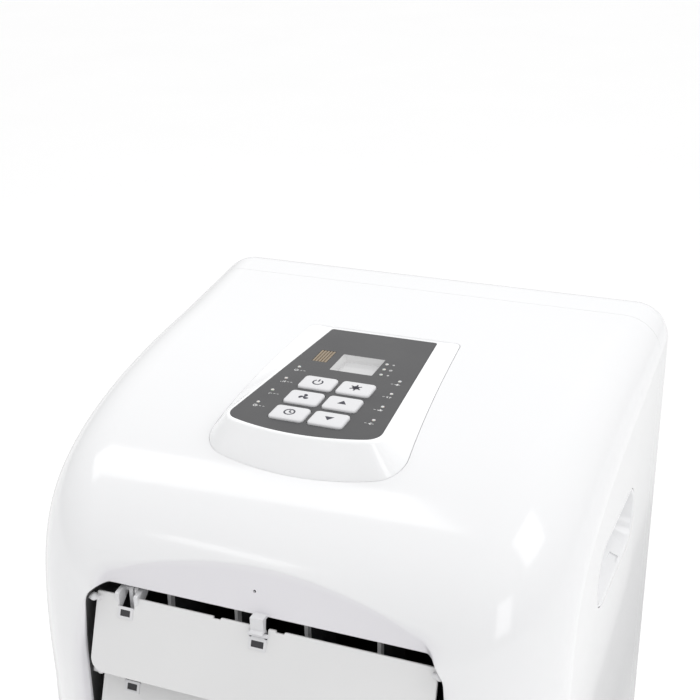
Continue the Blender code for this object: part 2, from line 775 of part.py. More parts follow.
def control_panel(materials):
    plane = bpy.data.objects.new("panel_plane", None)
    plane.location = on_floor(0, PANEL_BACK, label_height(PANEL_BACK))
    plane.rotation_euler = (PANEL_TILT, 0, 0)
    bpy.context.scene.collection.objects.link(plane)

    label_edge = (0.0393, 0.0500, LABEL_REAR, 0.0826, 0.0733, 0.0015, 0.010)
    grown = (0.0396, 0.0503, LABEL_REAR + GAP, 0.0823, 0.0730, 0.0018, 0.0103)

    key_holes = bmesh.new()
    for _, x, back in key_places():
        panel_box(key_holes, x, back, KEY_SIZE[0] / 2 + KEY_GAP, KEY_SIZE[1] / 2 + KEY_GAP, -0.010, 0.005)
    x, back, half_x, half_back = DISPLAY
    panel_box(key_holes, x, back, half_x + GAP, half_back + GAP, -0.010, 0.005)
    key_holes = tool("key_holes", key_holes, plane)

    pod = add_object("control_pod", pod_solid(0.0, 0.0, 0.055), materials["cabinet"])
    cut(pod, tool("pod_hollow", pod_solid(0.0026, 0.0034, 0.060)))
    recess = bmesh.new()
    loft(recess, [[on_panel(x, y, w) for x, y in panel_outline(*grown)] for w in (-0.0012, 0.004)])
    cut(pod, tool("label_recess", recess, plane))
    cut(pod, key_holes)

    sheet = bmesh.new()
    loft(sheet, [[on_panel(x, y, w) for x, y in panel_outline(*label_edge)] for w in (-0.0009, 0.0)])
    label = add_object("panel_label", sheet, materials["label"], parent=plane)
    cut(label, key_holes)
    windows = bmesh.new()
    for lamp_x, lamp_back in lamp_places():
        cylinder(windows, on_panel(lamp_x, lamp_back, -0.010), (0, 0, 1), 0.0015, 0.013, 6)
    windows = tool("lamp_holes", windows, plane)
    cut(label, windows)
    cut(pod, windows)
    window = bmesh.new()
    x, back, half_x, half_back = RECEIVER
    panel_box(window, x, back, half_x + GAP, half_back + GAP, -0.003, 0.003)
    cut(label, tool("receiver_window", window, plane))

    lamp_guide(materials, plane)
    lens = bmesh.new()
    panel_box(lens, x, back, half_x, half_back, -0.0008, -0.0001)
    add_object("ir_receiver", lens, materials["receiver"], parent=plane)

    pane = bmesh.new()
    x, back, half_x, half_back = DISPLAY
    panel_box(pane, x, back, half_x, half_back, -0.0030, -0.0020)
    add_object("display_window", pane, materials["window"], parent=plane)

    stem = rounded_box(0.004, 0.003, 0.001)
    cap = rounded_box(KEY_SIZE[0] / 2, KEY_SIZE[1] / 2, 0.0028)
    face = rounded_box(KEY_SIZE[0] / 2 - 0.0005, KEY_SIZE[1] / 2 - 0.0005, 0.0023)
    rings = ((stem, -0.0094), (stem, -0.0045), (cap, -0.0045), (cap, 0.0008), (face, 0.0014))
    for name, x, back in key_places():
        centre = on_panel(x, back, 0.0)
        bm = bmesh.new()
        loft(bm, [[centre + Vector((u, v, w)) for u, v in ring] for ring, w in rings])
        add_object(name, bm, materials["key"], origin=centre, parent=plane)

    bm = bmesh.new()
    panel_box(bm, 0.0, 0.150, 0.042, 0.064, -0.0141, -0.0125)
    board = add_object("control_board", bm, materials["board"], parent=plane)
    parts = bmesh.new()
    for _, x, back in key_places():
        panel_box(parts, x, back, 0.003, 0.003, -0.0135, -0.0105)
    x, back, half_x, half_back = DISPLAY
    panel_box(parts, x, back, half_x - 0.003, half_back - 0.004, -0.0135, -0.0040)
    join(board, tool("board_parts", parts, plane))


# ---------------------------------------------------------------- handles

def handle_ring(side, depth, grow=0.0, rise=0.0, squeeze=0.0):
    """The recess outline on one side, at a depth under the skin, narrowed and raised towards its floor."""
    half_y = HANDLE_HALF[0] + grow - squeeze
    half_z = HANDLE_HALF[1] + grow - squeeze
    ring = []
    for y, z in rounded_box(half_y, half_z, half_z - 0.0015, 4):
        height = TOP - HANDLE_DOWN + z + rise
        ring.append(on_floor(side * (half_width(height) - depth), HANDLE_BACK + y, height))
    return ring


def handle_openings():
    bm = bmesh.new()
    for side in (-1, 1):
        loft(bm, [handle_ring(side, depth, grow=GAP) for depth in (-0.01, 0.01)])
    return bm


def handles(materials):
    for name, side in (("left_handle", -1), ("right_handle", 1)):
        bm = bmesh.new()
        rings = [
            handle_ring(side, HANDLE_DEPTH - 0.0022, rise=0.003, squeeze=0.0075),
            handle_ring(side, 0.0004, squeeze=0.0022),
            handle_ring(side, 0.0004),
            handle_ring(side, HANDLE_DEPTH, rise=0.003, squeeze=0.0055),
        ]
        loft(bm, rings)
        cup = add_object(name, bm, materials["cabinet"])
        slot = bmesh.new()
        middle = (half_width(TOP - HANDLE_DOWN) - HANDLE_DEPTH) * side
        lo = on_floor(middle - 0.006, 0.1640, TOP - 0.1176)
        hi = on_floor(middle + 0.006, 0.1694, TOP - 0.1120)
        box(slot, lo, hi)
        cut(cup, tool(name + "_slot", slot))


# ---------------------------------------------------------------- back and base

def rear_cover(materials):
    skin = sliced_body(0.0, low=BASE_TOP + GAP, front=SEAM + GAP)
    cover = add_object("rear_cover", skin, materials["cabinet"])
    cut(cover, tool("cover_hollow", body_solid(WALL, FOOT - 0.03)))
    holes = bmesh.new()
    for x0, x1, z0, z1 in (UPPER_GRILLE, LOWER_GRILLE):
        box(holes, on_floor(x0, 0.340, z0), on_floor(x1, 0.355, z1))
    rounds = ((PORT, PORT_RADIUS + 0.0008), (UPPER_DRAIN, 0.0090), (GLAND, 0.0080))
    for (x, height), radius in rounds:
        cylinder(holes, on_floor(x, 0.335, height), (0, 1, 0), radius, 0.020, 32)
    cut(cover, tool("cover_holes", holes))


def grille(materials, name, bounds, columns, rows):
    """A flat louvred panel with a stiff frame, which swings on its bottom edge."""
    x0, x1, z0, z1 = (
        bounds[0] + 0.0005,
        bounds[1] - 0.0005,
        bounds[2] + 0.0005,
        bounds[3] - 0.0005,
    )
    bm = bmesh.new()
    box(bm, on_floor(x0, DEPTH - GRILLE_THICK, z0), on_floor(x1, DEPTH, z1))
    panel = add_object(name, bm, materials["grille"], origin=on_floor((x0 + x1) / 2, DEPTH, z0))
    slots = bmesh.new()
    border = 0.011
    rib = 0.005
    pitch_x = (x1 - x0 - 2 * border + rib) / columns
    pitch_z = (z1 - z0 - 2 * border + rib) / rows
    for column in range(columns):
        for row in range(rows):
            left = x0 + border + column * pitch_x
            low = z0 + border + row * pitch_z
            lo = on_floor(left, DEPTH - 0.010, low)
            hi = on_floor(left + pitch_x - rib, DEPTH + 0.005, low + pitch_z - rib)
            box(slots, lo, hi)
    cut(panel, tool(name + "_slots", slots))


def upper_filter(materials):
    """A mesh pad in a thin frame, clipped to the inside of the upper grille."""
    x0, x1, z0, z1 = UPPER_GRILLE
    bm = bmesh.new()
    box(bm, on_floor(x0 + 0.004, 0.3408, z0 + 0.006), on_floor(x1 - 0.004, 0.3440, z1 - 0.004))
    pad = add_object("upper_filter", bm, materials["filter"])
    pockets = bmesh.new()
    for column in range(2):
        for row in range(3):
            left = x0 + 0.010 + column * 0.117
            low = z0 + 0.012 + row * 0.0695
            box(pockets, on_floor(left, 0.3418, low), on_floor(left + 0.113, 0.350, low + 0.0655))
    cut(pad, tool("upper_filter_pockets", pockets))


def exhaust_collar(materials):
    x, height = PORT
    profile = (
        (0.0740, DEPTH + GAP),
        (0.0740, DEPTH + GAP + 0.0025),
        (PORT_RADIUS, DEPTH + GAP + 0.0040),
        (PORT_RADIUS, PORT_END),
        (PORT_RADIUS - 0.0035, PORT_END),
        (PORT_RADIUS - 0.0035, 0.2810),
        (PORT_RADIUS, 0.2810),
        (PORT_RADIUS, DEPTH + GAP),
    )
    bm = bmesh.new()
    turned(bm, on_floor(x, 0.0, height), (0, 1, 0), profile, 32, closed=True)
    add_object("exhaust_collar", bm, materials["cabinet"])


def drain_caps(materials):
    for name, (x, height) in (("upper_drain_cap", UPPER_DRAIN), ("lower_drain_cap", LOWER_DRAIN)):
        profile = (
            (0.0070, DEPTH - 0.0100),
            (0.0080, DEPTH - 0.0080),
            (0.0080, DEPTH + GAP),
            (0.0125, DEPTH + GAP),
            (0.0125, DEPTH + 0.0045),
            (0.0110, DEPTH + 0.0060),
        )
        bm = bmesh.new()
        turned(bm, on_floor(x, 0.0, height), (0, 1, 0), profile, 16)
        add_object(name, bm, materials["rubber"], origin=on_floor(x, DEPTH, height))


def cord_gland(materials):
    x, height = GLAND
    profile = (
        (0.0070, DEPTH - 0.0080),
        (0.0070, DEPTH + GAP),
        (0.0115, DEPTH + GAP),
        (0.0115, DEPTH + 0.0030),
        (0.0070, DEPTH + 0.0100),
        (0.0038, DEPTH + 0.0100),
        (0.0038, DEPTH - 0.0080),
    )
    bm = bmesh.new()
    turned(bm, on_floor(x, 0.0, height), (0, 1, 0), profile, 16, closed=True)
    add_object("cord_gland", bm, materials["rubber"])


def cord_hook(materials):
    """A bracket with one hook opening up and one opening down, that the cord winds round."""
    foot = DEPTH + GAP
    low = 0.315
    high = 0.365
    outline = (
        (foot, low - 0.014),
        (foot + 0.0020, low - 0.014),
        (foot + 0.0020, low),
        (DEPTH + 0.0150, low),
        (DEPTH + 0.0150, low - 0.012),
        (DEPTH + 0.0180, low - 0.012),
        (DEPTH + 0.0180, low + 0.002),
        (DEPTH + 0.0160, low + 0.004),
        (foot + 0.0020, low + 0.004),
        (foot + 0.0020, high - 0.004),
        (DEPTH + 0.0160, high - 0.004),
        (DEPTH + 0.0180, high - 0.002),
        (DEPTH + 0.0180, high + 0.012),
        (DEPTH + 0.0150, high + 0.012),
        (DEPTH + 0.0150, high),
        (foot + 0.0020, high),
        (foot + 0.0020, high + 0.014),
        (foot, high + 0.014),
    )
    bm = bmesh.new()
    prism_x(bm, outline, -0.068, -0.042, place=on_floor)
    add_object("cord_hook", bm, materials["cabinet"])


def base_pan(materials):
    base = add_object("base_pan", sliced_body(0.0, low=FOOT, high=BASE_TOP), materials["cabinet"])
    cut(base, tool("base_upper_hollow", sliced_body(WALL, low=BASE_FLOOR[1], high=BASE_TOP + 0.02)))
    cut(base, tool("base_lower_hollow", sliced_body(WALL, high=BASE_FLOOR[0])))
    hole = bmesh.new()
    x, height = LOWER_DRAIN
    cylinder(hole, on_floor(x, 0.335, height), (0, 1, 0), 0.0090, 0.020, 20)
    cut(base, tool("base_drain_hole", hole))
    post = bmesh.new()
    cylinder(post, on_floor(*FLOAT, 0.056), (0, 0, 1), 0.0025, 0.040, 12)
    join(base, tool("float_post", post))


# ---------------------------------------------------------------- inside

def mid_deck(materials):
    """The drip tray between the cold and the warm halves."""
    tray = sliced_body(WALL + 0.0008, low=DECK, high=DECK + 0.010, rear=0.3365)
    deck = add_object("mid_deck", tray, materials["inner"])
    cut(deck, tool("deck_hollow", sliced_body(WALL + 0.0035, low=DECK + 0.003, high=DECK + 0.03, rear=0.334)))
    hole = bmesh.new()
    cylinder(hole, on_floor(-0.145, 0.200, DECK - 0.01), (0, 0, 1), 0.0075, 0.030, 12)
    cut(deck, tool("deck_hole", hole))


def coils(materials):
    """Fin packs with an end plate on each side."""
    packs = (
        ("evaporator_coil", -0.120, 0.120, 0.3035, 0.620, 0.300, 0.3335),
        ("condenser_coil", -0.152, -0.016, 0.0590, 0.290, 0.298, 0.3340),
    )
    plate = 0.0015
    lip = 0.0020
    for name, x0, x1, z0, z1, y0, y1 in packs:
        outline = (
            (x0, y0),
            (x0 + plate, y0),
            (x0 + plate, y0 + lip),
            (x1 - plate, y0 + lip),
            (x1 - plate, y0),
            (x1, y0),
            (x1, y1),
            (x1 - plate, y1),
            (x1 - plate, y1 - lip),
            (x0 + plate, y1 - lip),
            (x0 + plate, y1),
            (x0, y1),
        )
        bm = bmesh.new()
        loft(bm, [[on_floor(x, back, height) for x, back in outline] for height in (z0, z1)])
        add_object(name, bm, materials["fins"])


def scroll_outline(centre, radius, half, top, inset):
    """A fan casing seen from the front: round below, straight sides up to a flat top."""
    x, height = centre
    points = []
    for k in range(13):
        angle = math.pi + math.pi * k / 12
        points.append(
            (x + (radius - inset) * math.cos(angle), height + (radius - inset) * math.sin(angle))
        )
    shoulder = height + (half - radius) * 2 + 0.030
    points += [(x + half - inset, shoulder), (x + half - inset, top - inset)]
    points += [(x - half + inset, top - inset), (x - half + inset, shoulder)]
    return points


def fan(materials, label, centre, wheel, casing, half, top, backs, mouth, motor):
    """A casing, its squirrel-cage wheel and the motor in front of it."""
    x, height = centre
    front, rear = backs
    wall = 0.0022
    shell = bmesh.new()
    prism_y(shell, scroll_outline(centre, casing, half, top, 0.0), front, rear)
    scroll = add_object(label + "_scroll", shell, materials["inner"])
    inside = bmesh.new()
    prism_y(inside, scroll_outline(centre, casing, half, top, wall), front + wall, rear - wall)
    cut(scroll, tool(label + "_scroll_hollow", inside))
    holes = bmesh.new()
    cylinder(holes, on_floor(x, rear - 0.005, height), (0, 1, 0), mouth, 0.010, 24)
    cylinder(holes, on_floor(x, front - 0.003, height), (0, 1, 0), 0.0080, 0.008, 12)
    cut(scroll, tool(label + "_scroll_holes", holes))

    drum = bmesh.new()
    near = front + 0.008
    far = rear - 0.008
    profile = (
        (wheel, near),
        (wheel, far),
        (wheel - 0.011, far),
        (wheel - 0.011, near + 0.003),
        (0.011, near + 0.003),
        (0.011, near + 0.014),
        (0.0034, near + 0.014),
        (0.0034, near),
    )
    turned(drum, on_floor(x, 0.0, height), (0, 1, 0), profile, 24, closed=True)
    rotor = add_object(label + "_wheel", drum, materials["filter"], origin=on_floor(x, near, height))
    gaps = bmesh.new()
    count = 12
    for k in range(count):
        angle = math.tau * (k + 0.5) / count
        out = Vector((math.cos(angle), 0, math.sin(angle)))
        across = Vector((-math.sin(angle), 0, math.cos(angle))) * wheel * math.tau / count * 0.3
        rings = []
        for back in (near + 0.009, far - 0.006):
            middle = on_floor(x, back, height)
            inner = middle + out * (wheel - 0.016)
            outer = middle + out * (wheel + 0.006)
            rings.append([inner - across, outer - across, outer + across, inner + across])
        loft(gaps, rings)
    cut(rotor, tool(label + "_wheel_gaps", gaps))

    bm = bmesh.new()
    radius, length = motor
    profile = (
        (radius - 0.006, front - length - 0.006),
        (radius, front - length),
        (radius, front - 0.004),
        (0.0065, front - 0.004),
        (0.0065, front + 0.0040),
        (0.0030, front + 0.0040),
        (0.0030, near + 0.013),
    )
    turned(bm, on_floor(x, 0.0, height), (0, 1, 0), profile, 24)
    add_object(label + "_motor", bm, materials["steel"])


def fans(materials):
    front = SCROLL_FRONT
    fan(materials, "evaporator", EVAPORATOR_FAN, EVAPORATOR_WHEEL, 0.0990, 0.1125, 0.5965,
        (front, 0.284), 0.062, (0.042, 0.046))
    scroll = bpy.data.objects["evaporator_scroll"]
    exit_hole = bmesh.new()
    box(exit_hole, on_floor(-0.108, front - 0.005, 0.478), on_floor(0.108, front + 0.010, 0.590))
    cut(scroll, tool("evaporator_scroll_exit", exit_hole))
    fan(materials, "condenser", CONDENSER_FAN, CONDENSER_WHEEL, 0.0740, 0.0760, 0.2930,
        (front, 0.2795), 0.060, (0.038, 0.040))


def compressor(materials):
    x, back = COMPRESSOR
    profile = (
        (0.076, 0.0720),
        (0.076, 0.0750),
        (0.060, 0.0760),
        (0.062, 0.1000),
        (0.062, 0.2350),
        (0.058, 0.2550),
        (0.044, 0.2720),
        (0.020, 0.2820),
    )
    bm = bmesh.new()
    turned(bm, on_floor(x, back, 0.0), (0, 0, 1), profile, 24)
    add_object("compressor", bm, materials["painted"])
    ring = bmesh.new()
    tube(ring, on_floor(x, back, 0.0690), (0, 0, 1), 0.0740, 0.0540, 0.0027, 20)
    mount = add_object("compressor_mount", ring, materials["rubber"])
    feet = bmesh.new()
    for k in range(3):
        angle = math.tau * k / 3 + math.radians(30)
        place = on_floor(x + 0.064 * math.cos(angle), back + 0.064 * math.sin(angle), 0.0)
        profile = ((0.0090, 0.0583), (0.0075, 0.0630), (0.0090, 0.0700))
        turned(feet, place, (0, 0, 1), profile, 10)
    join(mount, tool("compressor_mount_feet", feet))


def refrigerant_lines(materials):
    """Copper lines from the compressor to the two coils."""
    routes = (
        ((-0.100, 0.174, 0.235), (-0.108, 0.198, 0.235), (-0.118, 0.232, 0.244), (-0.120, 0.262, 0.250),
         (-0.120, 0.2965, 0.250)),
        ((-0.122, 0.160, 0.200), (-0.136, 0.176, 0.215), (-0.144, 0.192, 0.250), (-0.145, 0.200, 0.300),
         (-0.145, 0.206, 0.350), (-0.143, 0.240, 0.395), (-0.134, 0.285, 0.415), (-0.1265, 0.312, 0.420)),
    )
    for name, route in zip(("discharge_line", "suction_line"), routes):
        curve = bpy.data.curves.new(name, "CURVE")
        curve.dimensions = "3D"
        curve.bevel_depth = 0.004
        curve.bevel_resolution = 1
        curve.resolution_u = 3
        curve.use_fill_caps = True
        spline = curve.splines.new("BEZIER")
        spline.bezier_points.add(len(route) - 1)
        for knot, place in zip(spline.bezier_points, route):
            knot.co = on_floor(*place)
            knot.handle_left_type = "AUTO"
            knot.handle_right_type = "AUTO"
        curve.materials.append(materials["copper"])
        line = bpy.data.objects.new(name, curve)
        bpy.context.scene.collection.objects.link(line)


def water_float(materials):
    """A ring that rides up a post in the base when condensate collects."""
    bm = bmesh.new()
    tube(bm, on_floor(*FLOAT, 0.0585), (0, 0, 1), 0.014, 0.0032, 0.012, 16)
    add_object("water_float", bm, materials["louver"], origin=on_floor(*FLOAT, 0.0585))


# ---------------------------------------------------------------- casters

def caster(materials, name, x, back):
    swivel = on_floor(x, back, 0.0)
    outline = (
        (-0.0115, 0.0150),
        (-0.0115, 0.0460),
        (0.0115, 0.0460),
        (0.0115, 0.0150),
        (0.0092, 0.0150),
        (0.0092, 0.0425),
        (-0.0092, 0.0425),
        (-0.0092, 0.0150),
    )
    bm = bmesh.new()
    prism_y(bm, [(x + u, z) for u, z in outline], back - 0.006, back + 0.021)
    fork = add_object("caster_fork_" + name, bm, materials["cabinet"], origin=swivel)
    parts = bmesh.new()
    cylinder(parts, swivel + Vector((0, 0.0, 0.0440)), (0, 0, 1), 0.0130, 0.0106, 20)
    axle = swivel + Vector((-0.0110, CASTER_TRAIL, WHEEL_RADIUS))
    cylinder(parts, axle, (1, 0, 0), 0.0030, 0.0220, 12)
    join(fork, tool("caster_parts_" + name, parts))
    # the lowest facet of the rim lies flat on the floor
    rim = WHEEL_RADIUS / math.cos(math.pi / WHEEL_SIDES)
    profile = (
        (rim - 0.0025, -0.0085),
        (rim, -0.0060),
        (rim, 0.0060),
        (rim - 0.0025, 0.0085),
        (0.0036, 0.0085),
        (0.0036, -0.0085),
    )
    wheel = bmesh.new()
    hub = swivel + Vector((0, CASTER_TRAIL, WHEEL_RADIUS))
    turned(wheel, hub, (1, 0, 0), profile, WHEEL_SIDES, closed=True, turn=math.pi / WHEEL_SIDES)
    add_object("caster_wheel_" + name, wheel, materials["tyre"], origin=hub)


def casters(materials):
    for row, back in zip(("front", "rear"), CASTER_BACK):
        for column, side in (("left", -1), ("right", 1)):
            caster(materials, f"{row}_{column}", side * CASTER_X, back)


def main():
    for thing in list(bpy.data.objects):
        bpy.data.objects.remove(thing, do_unlink=True)
    materials = make_materials()
    front_housing(materials)
    outlet_frame(materials)
    for name, pivot in zip(("upper_louver", "lower_louver"), louver_pivots()):
        louver(materials, name, pivot)
    hinge_arm(materials)
    linkage(materials)
    vanes(materials)
    control_panel(materials)
    handles(materials)
    rear_cover(materials)
    grille(materials, "upper_grille", UPPER_GRILLE, 2, 12)
    grille(materials, "lower_grille", LOWER_GRILLE, 1, 10)
    upper_filter(materials)
    exhaust_collar(materials)
    drain_caps(materials)
    cord_gland(materials)
    cord_hook(materials)
    base_pan(materials)
    mid_deck(materials)
    coils(materials)
    fans(materials)
    compressor(materials)
    refrigerant_lines(materials)
    water_float(materials)
    casters(materials)


main()
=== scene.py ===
"""Studio picture of the portable air conditioner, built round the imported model.

Metres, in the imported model's frame: the front faces -Y, and +Z is up. Most places are given as
(x, back, down), as in the CAD model: sideways from the middle, back from the front face, and
down from the top line. The helper at() turns them into world coordinates.
"""

import json
import math

import bmesh
import bpy
from mathutils import Matrix, Vector
from mathutils.bvhtree import BVHTree
from mathutils.interpolate import poly_3d_calc


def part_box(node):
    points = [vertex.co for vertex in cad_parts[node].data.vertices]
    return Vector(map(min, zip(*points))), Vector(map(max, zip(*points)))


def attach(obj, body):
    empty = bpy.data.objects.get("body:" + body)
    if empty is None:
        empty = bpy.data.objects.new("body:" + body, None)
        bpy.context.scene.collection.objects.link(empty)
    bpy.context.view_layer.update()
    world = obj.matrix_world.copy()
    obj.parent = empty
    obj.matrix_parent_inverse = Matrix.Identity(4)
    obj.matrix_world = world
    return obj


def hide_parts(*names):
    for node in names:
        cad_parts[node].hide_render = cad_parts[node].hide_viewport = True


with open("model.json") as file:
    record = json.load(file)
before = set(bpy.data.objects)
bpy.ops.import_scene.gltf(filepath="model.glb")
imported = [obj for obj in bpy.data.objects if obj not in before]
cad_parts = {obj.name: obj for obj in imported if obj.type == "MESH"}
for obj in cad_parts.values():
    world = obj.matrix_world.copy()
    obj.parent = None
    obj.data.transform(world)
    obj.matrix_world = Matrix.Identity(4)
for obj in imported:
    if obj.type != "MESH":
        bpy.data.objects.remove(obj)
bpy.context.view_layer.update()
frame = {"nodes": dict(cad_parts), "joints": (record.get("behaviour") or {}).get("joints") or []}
JOINTS = {joint["name"]: joint for joint in frame["joints"]}

# The cabinet, with the same driving dimensions as the CAD model
WIDTH = 0.350
DEPTH = 0.3484
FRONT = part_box("rear_cover")[1].y - DEPTH
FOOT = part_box("base_pan")[0].z
BASE_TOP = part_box("base_pan")[1].z
TOP = FOOT + 0.670
WALL = 0.0028
SEAM = 0.300
SEAM_GAP = 0.0001  # half the width of the parting lines
BASE_FLOOR = (0.055, 0.058)
TOP_SLOPE = math.radians(3.84)
FACE_LEAN = math.radians(2.08)
SIDE_TAPER = 0.0112
CROWN_BACK = 0.2353
FACE_DOWN = 0.1931
CROWN_PULL = 0.661
FACE_PULL = 0.435
BACK_CORNER = 0.027
EDGE_FRONT = 0.073
EDGE_CROWN = 0.036
EDGE_BACK = 0.025
HOOD_STEPS = 44
EDGE_STEPS = 16

# Air outlet
ARCH_HALF = 0.1195
ARCH_CROWN = 0.080
ARCH_DROOP = 0.0245
ARCH_FLOOR = 0.238
MOUTH_HALF = 0.1148
MOUTH_TOP = 0.110
MOUTH_FLOOR = 0.226
MOUTH_BACK = 0.0200
MOUTH_SIDE = 0.0095
ARCH_CORNER = 0.030
DUCT_BACK = 0.0223
SCOOP_WALL = 0.0035
OUTSIDE = FRONT - 0.030  # well in front of the skin, where cutters start
PINHOLE = (-0.0045, 0.005, 0.0957)
SAME_FACE = 6e-5  # a face this near a smooth source is taken to lie on it

# Louvers
LOUVER_HALF = 0.1103
LOUVER_TILT = math.radians(19.5)
LOUVER_TOP = -0.0041
LOUVER_REACH = 0.046
LOUVER_SKIN = (0.0009, 0.0033)
CRANK = (0.011, 0.004)
VANE_X = (-0.069, -0.023, 0.023, 0.069)
NOTCHES = (  # left, right, depth
    (-0.0945, -0.0838, 0.0030),
    (-0.0305, -0.0255, -0.0028),
    (-0.0056, 0.0056, 0.0036),
    (0.0105, 0.0160, -0.0028),
)
BLADE_WINDOWS = ((-0.0925, -0.0858), (-0.0040, 0.0040))
STRIPS = ((-0.0470, -0.0160), (0.0055, 0.0300))

# Control panel
LABEL_REAR = 0.2202
LABEL_REAR_DOWN = 0.0094
LABEL_FALL = 0.0486
PANEL_BACK = 0.150
PANEL_TILT = math.atan(LABEL_FALL)
LABEL_EDGE = (0.0382, 0.0500, LABEL_REAR, 0.0826, 0.0733, 0.0015, 0.010)
KEY_X = 0.01295
KEY_BACK = (0.1378, 0.11635, 0.0949)
KEY_HALF = (0.0115, 0.00825)
LED_BACK = (0.1575, 0.1396, 0.1217, 0.1038)
LED_X = (0.0350, 0.0361, 0.0372, 0.0384)
UNIT_LED = ((0.0182, 0.1785), (0.0191, 0.1708), (0.0200, 0.1631))
DISPLAY = (0.0, 0.1723, 0.0148, 0.0124)
RECEIVER = (-0.0262, 0.1778, 0.0053, 0.0087)
LABEL_BED = (0.0385, 0.0503, LABEL_REAR + 0.0003, 0.0823, 0.0730, 0.0018, 0.0103)
THROUGH = (-0.010, 0.005)  # heights of a hole through the label and the moulding
INK_RISE = 0.00003
CAPTION_DROP = 0.0046
KEY_CORNER = 0.0028
# As (inset, height above the label)
KEY_PROFILE = (
    (0.0, -0.0045), (0.0, 0.0003), (0.0002, 0.0009), (0.0006, 0.0013), (0.0012, 0.0015), (0.0030, 0.0016)
)
TUB_PROFILE = (
    (0.0, -0.0001), (0.0, -0.0010), (0.0018, -0.0044), (0.0018, -0.0052), (-0.0006, -0.0052),
    (-0.0006, -0.0001),
)

# Handle recesses
HANDLE_BACK = 0.182
HANDLE_DOWN = 0.116
HANDLE_HALF = (0.055, 0.0215)
HANDLE_DEPTH = 0.024

# Back of the machine
UPPER_GRILLE = (-0.125, 0.125, 0.395, 0.620)
LOWER_GRILLE = (-0.140, -0.012, 0.110, 0.290)
PORT = (0.070, 0.200)
PORT_RADIUS = 0.066
UPPER_DRAIN = (0.110, 0.340)
LOWER_DRAIN = (0.000, 0.073)
GLAND = (-0.115, 0.340)
SCREW_PLACES = [(side * 0.1355, height) for side in (-1, 1) for height in (0.0980, 0.3600, 0.6420)]
SCREW_PLACES += [(0.0, 0.6420), (-0.0650, 0.0980)]
SCREW_CROSS = (0.0019, 0.00035)  # half the length and half the width of its arms

# Small turned parts, as (radius, distance along the axis)
SCREW_HEAD = ((0.0034, 0.0), (0.0034, 0.0008), (0.0029, 0.0014), (0.0018, 0.0018), (0.0006, 0.0019))
SCREW_COLLAR = ((0.0052, 0.0001), (0.0052, 0.0006), (0.0047, 0.0009), (0.0040, 0.0009), (0.0037, 0.0001))
HUB_DISC = ((0.0134, 0.0), (0.0134, 0.0001), (0.0130, 0.0003), (0.0042, 0.0003), (0.0042, 0.0))
RIVET = ((0.0042, 0.0001), (0.0042, 0.0005), (0.0034, 0.0012), (0.0018, 0.0016), (0.0004, 0.0017))
LAMP_DOME = ((0.00125, 0.0), (0.00125, 0.0009), (0.0011, 0.0013), (0.0007, 0.0015), (0.0002, 0.00156))


def at(x, back, down):
    return Vector((x, FRONT + back, TOP - down))


def on_floor(x, back, height):
    return Vector((x, FRONT + back, height))


# ---- materials

GRAIN_DEPTH = 0.0003
# Painted shade: the darker colour put on the outlet's funnel, which is moulded in the cabinet's own white
RECESS_PAINTED_SHADE = (0.745, 0.735, 0.765)
# The share of grey in the cabinet where it is seen edge on: painted shade, which shades by where
# the camera stands. It shades by where the camera stands, which the brief doesn't allow, as
# report.md says. At 0.0 it is left out.
GRAZING_SHADE = 0.5
GRAZING_START = 0.80
GRAZING_SHADE_GREY = (0.45, 0.45, 0.46, 1.0)


def add_node(tree, kind, inputs, **settings):
    """A shader node. An input given as another node's output is linked, and any other is set."""
    node = tree.nodes.new("ShaderNode" + kind)
    for key, value in settings.items():
        setattr(node, key, value)
    for key, value in inputs.items():
        if isinstance(value, bpy.types.NodeSocket):
            tree.links.new(value, node.inputs[key])
        else:
            node.inputs[key].default_value = value
    return node


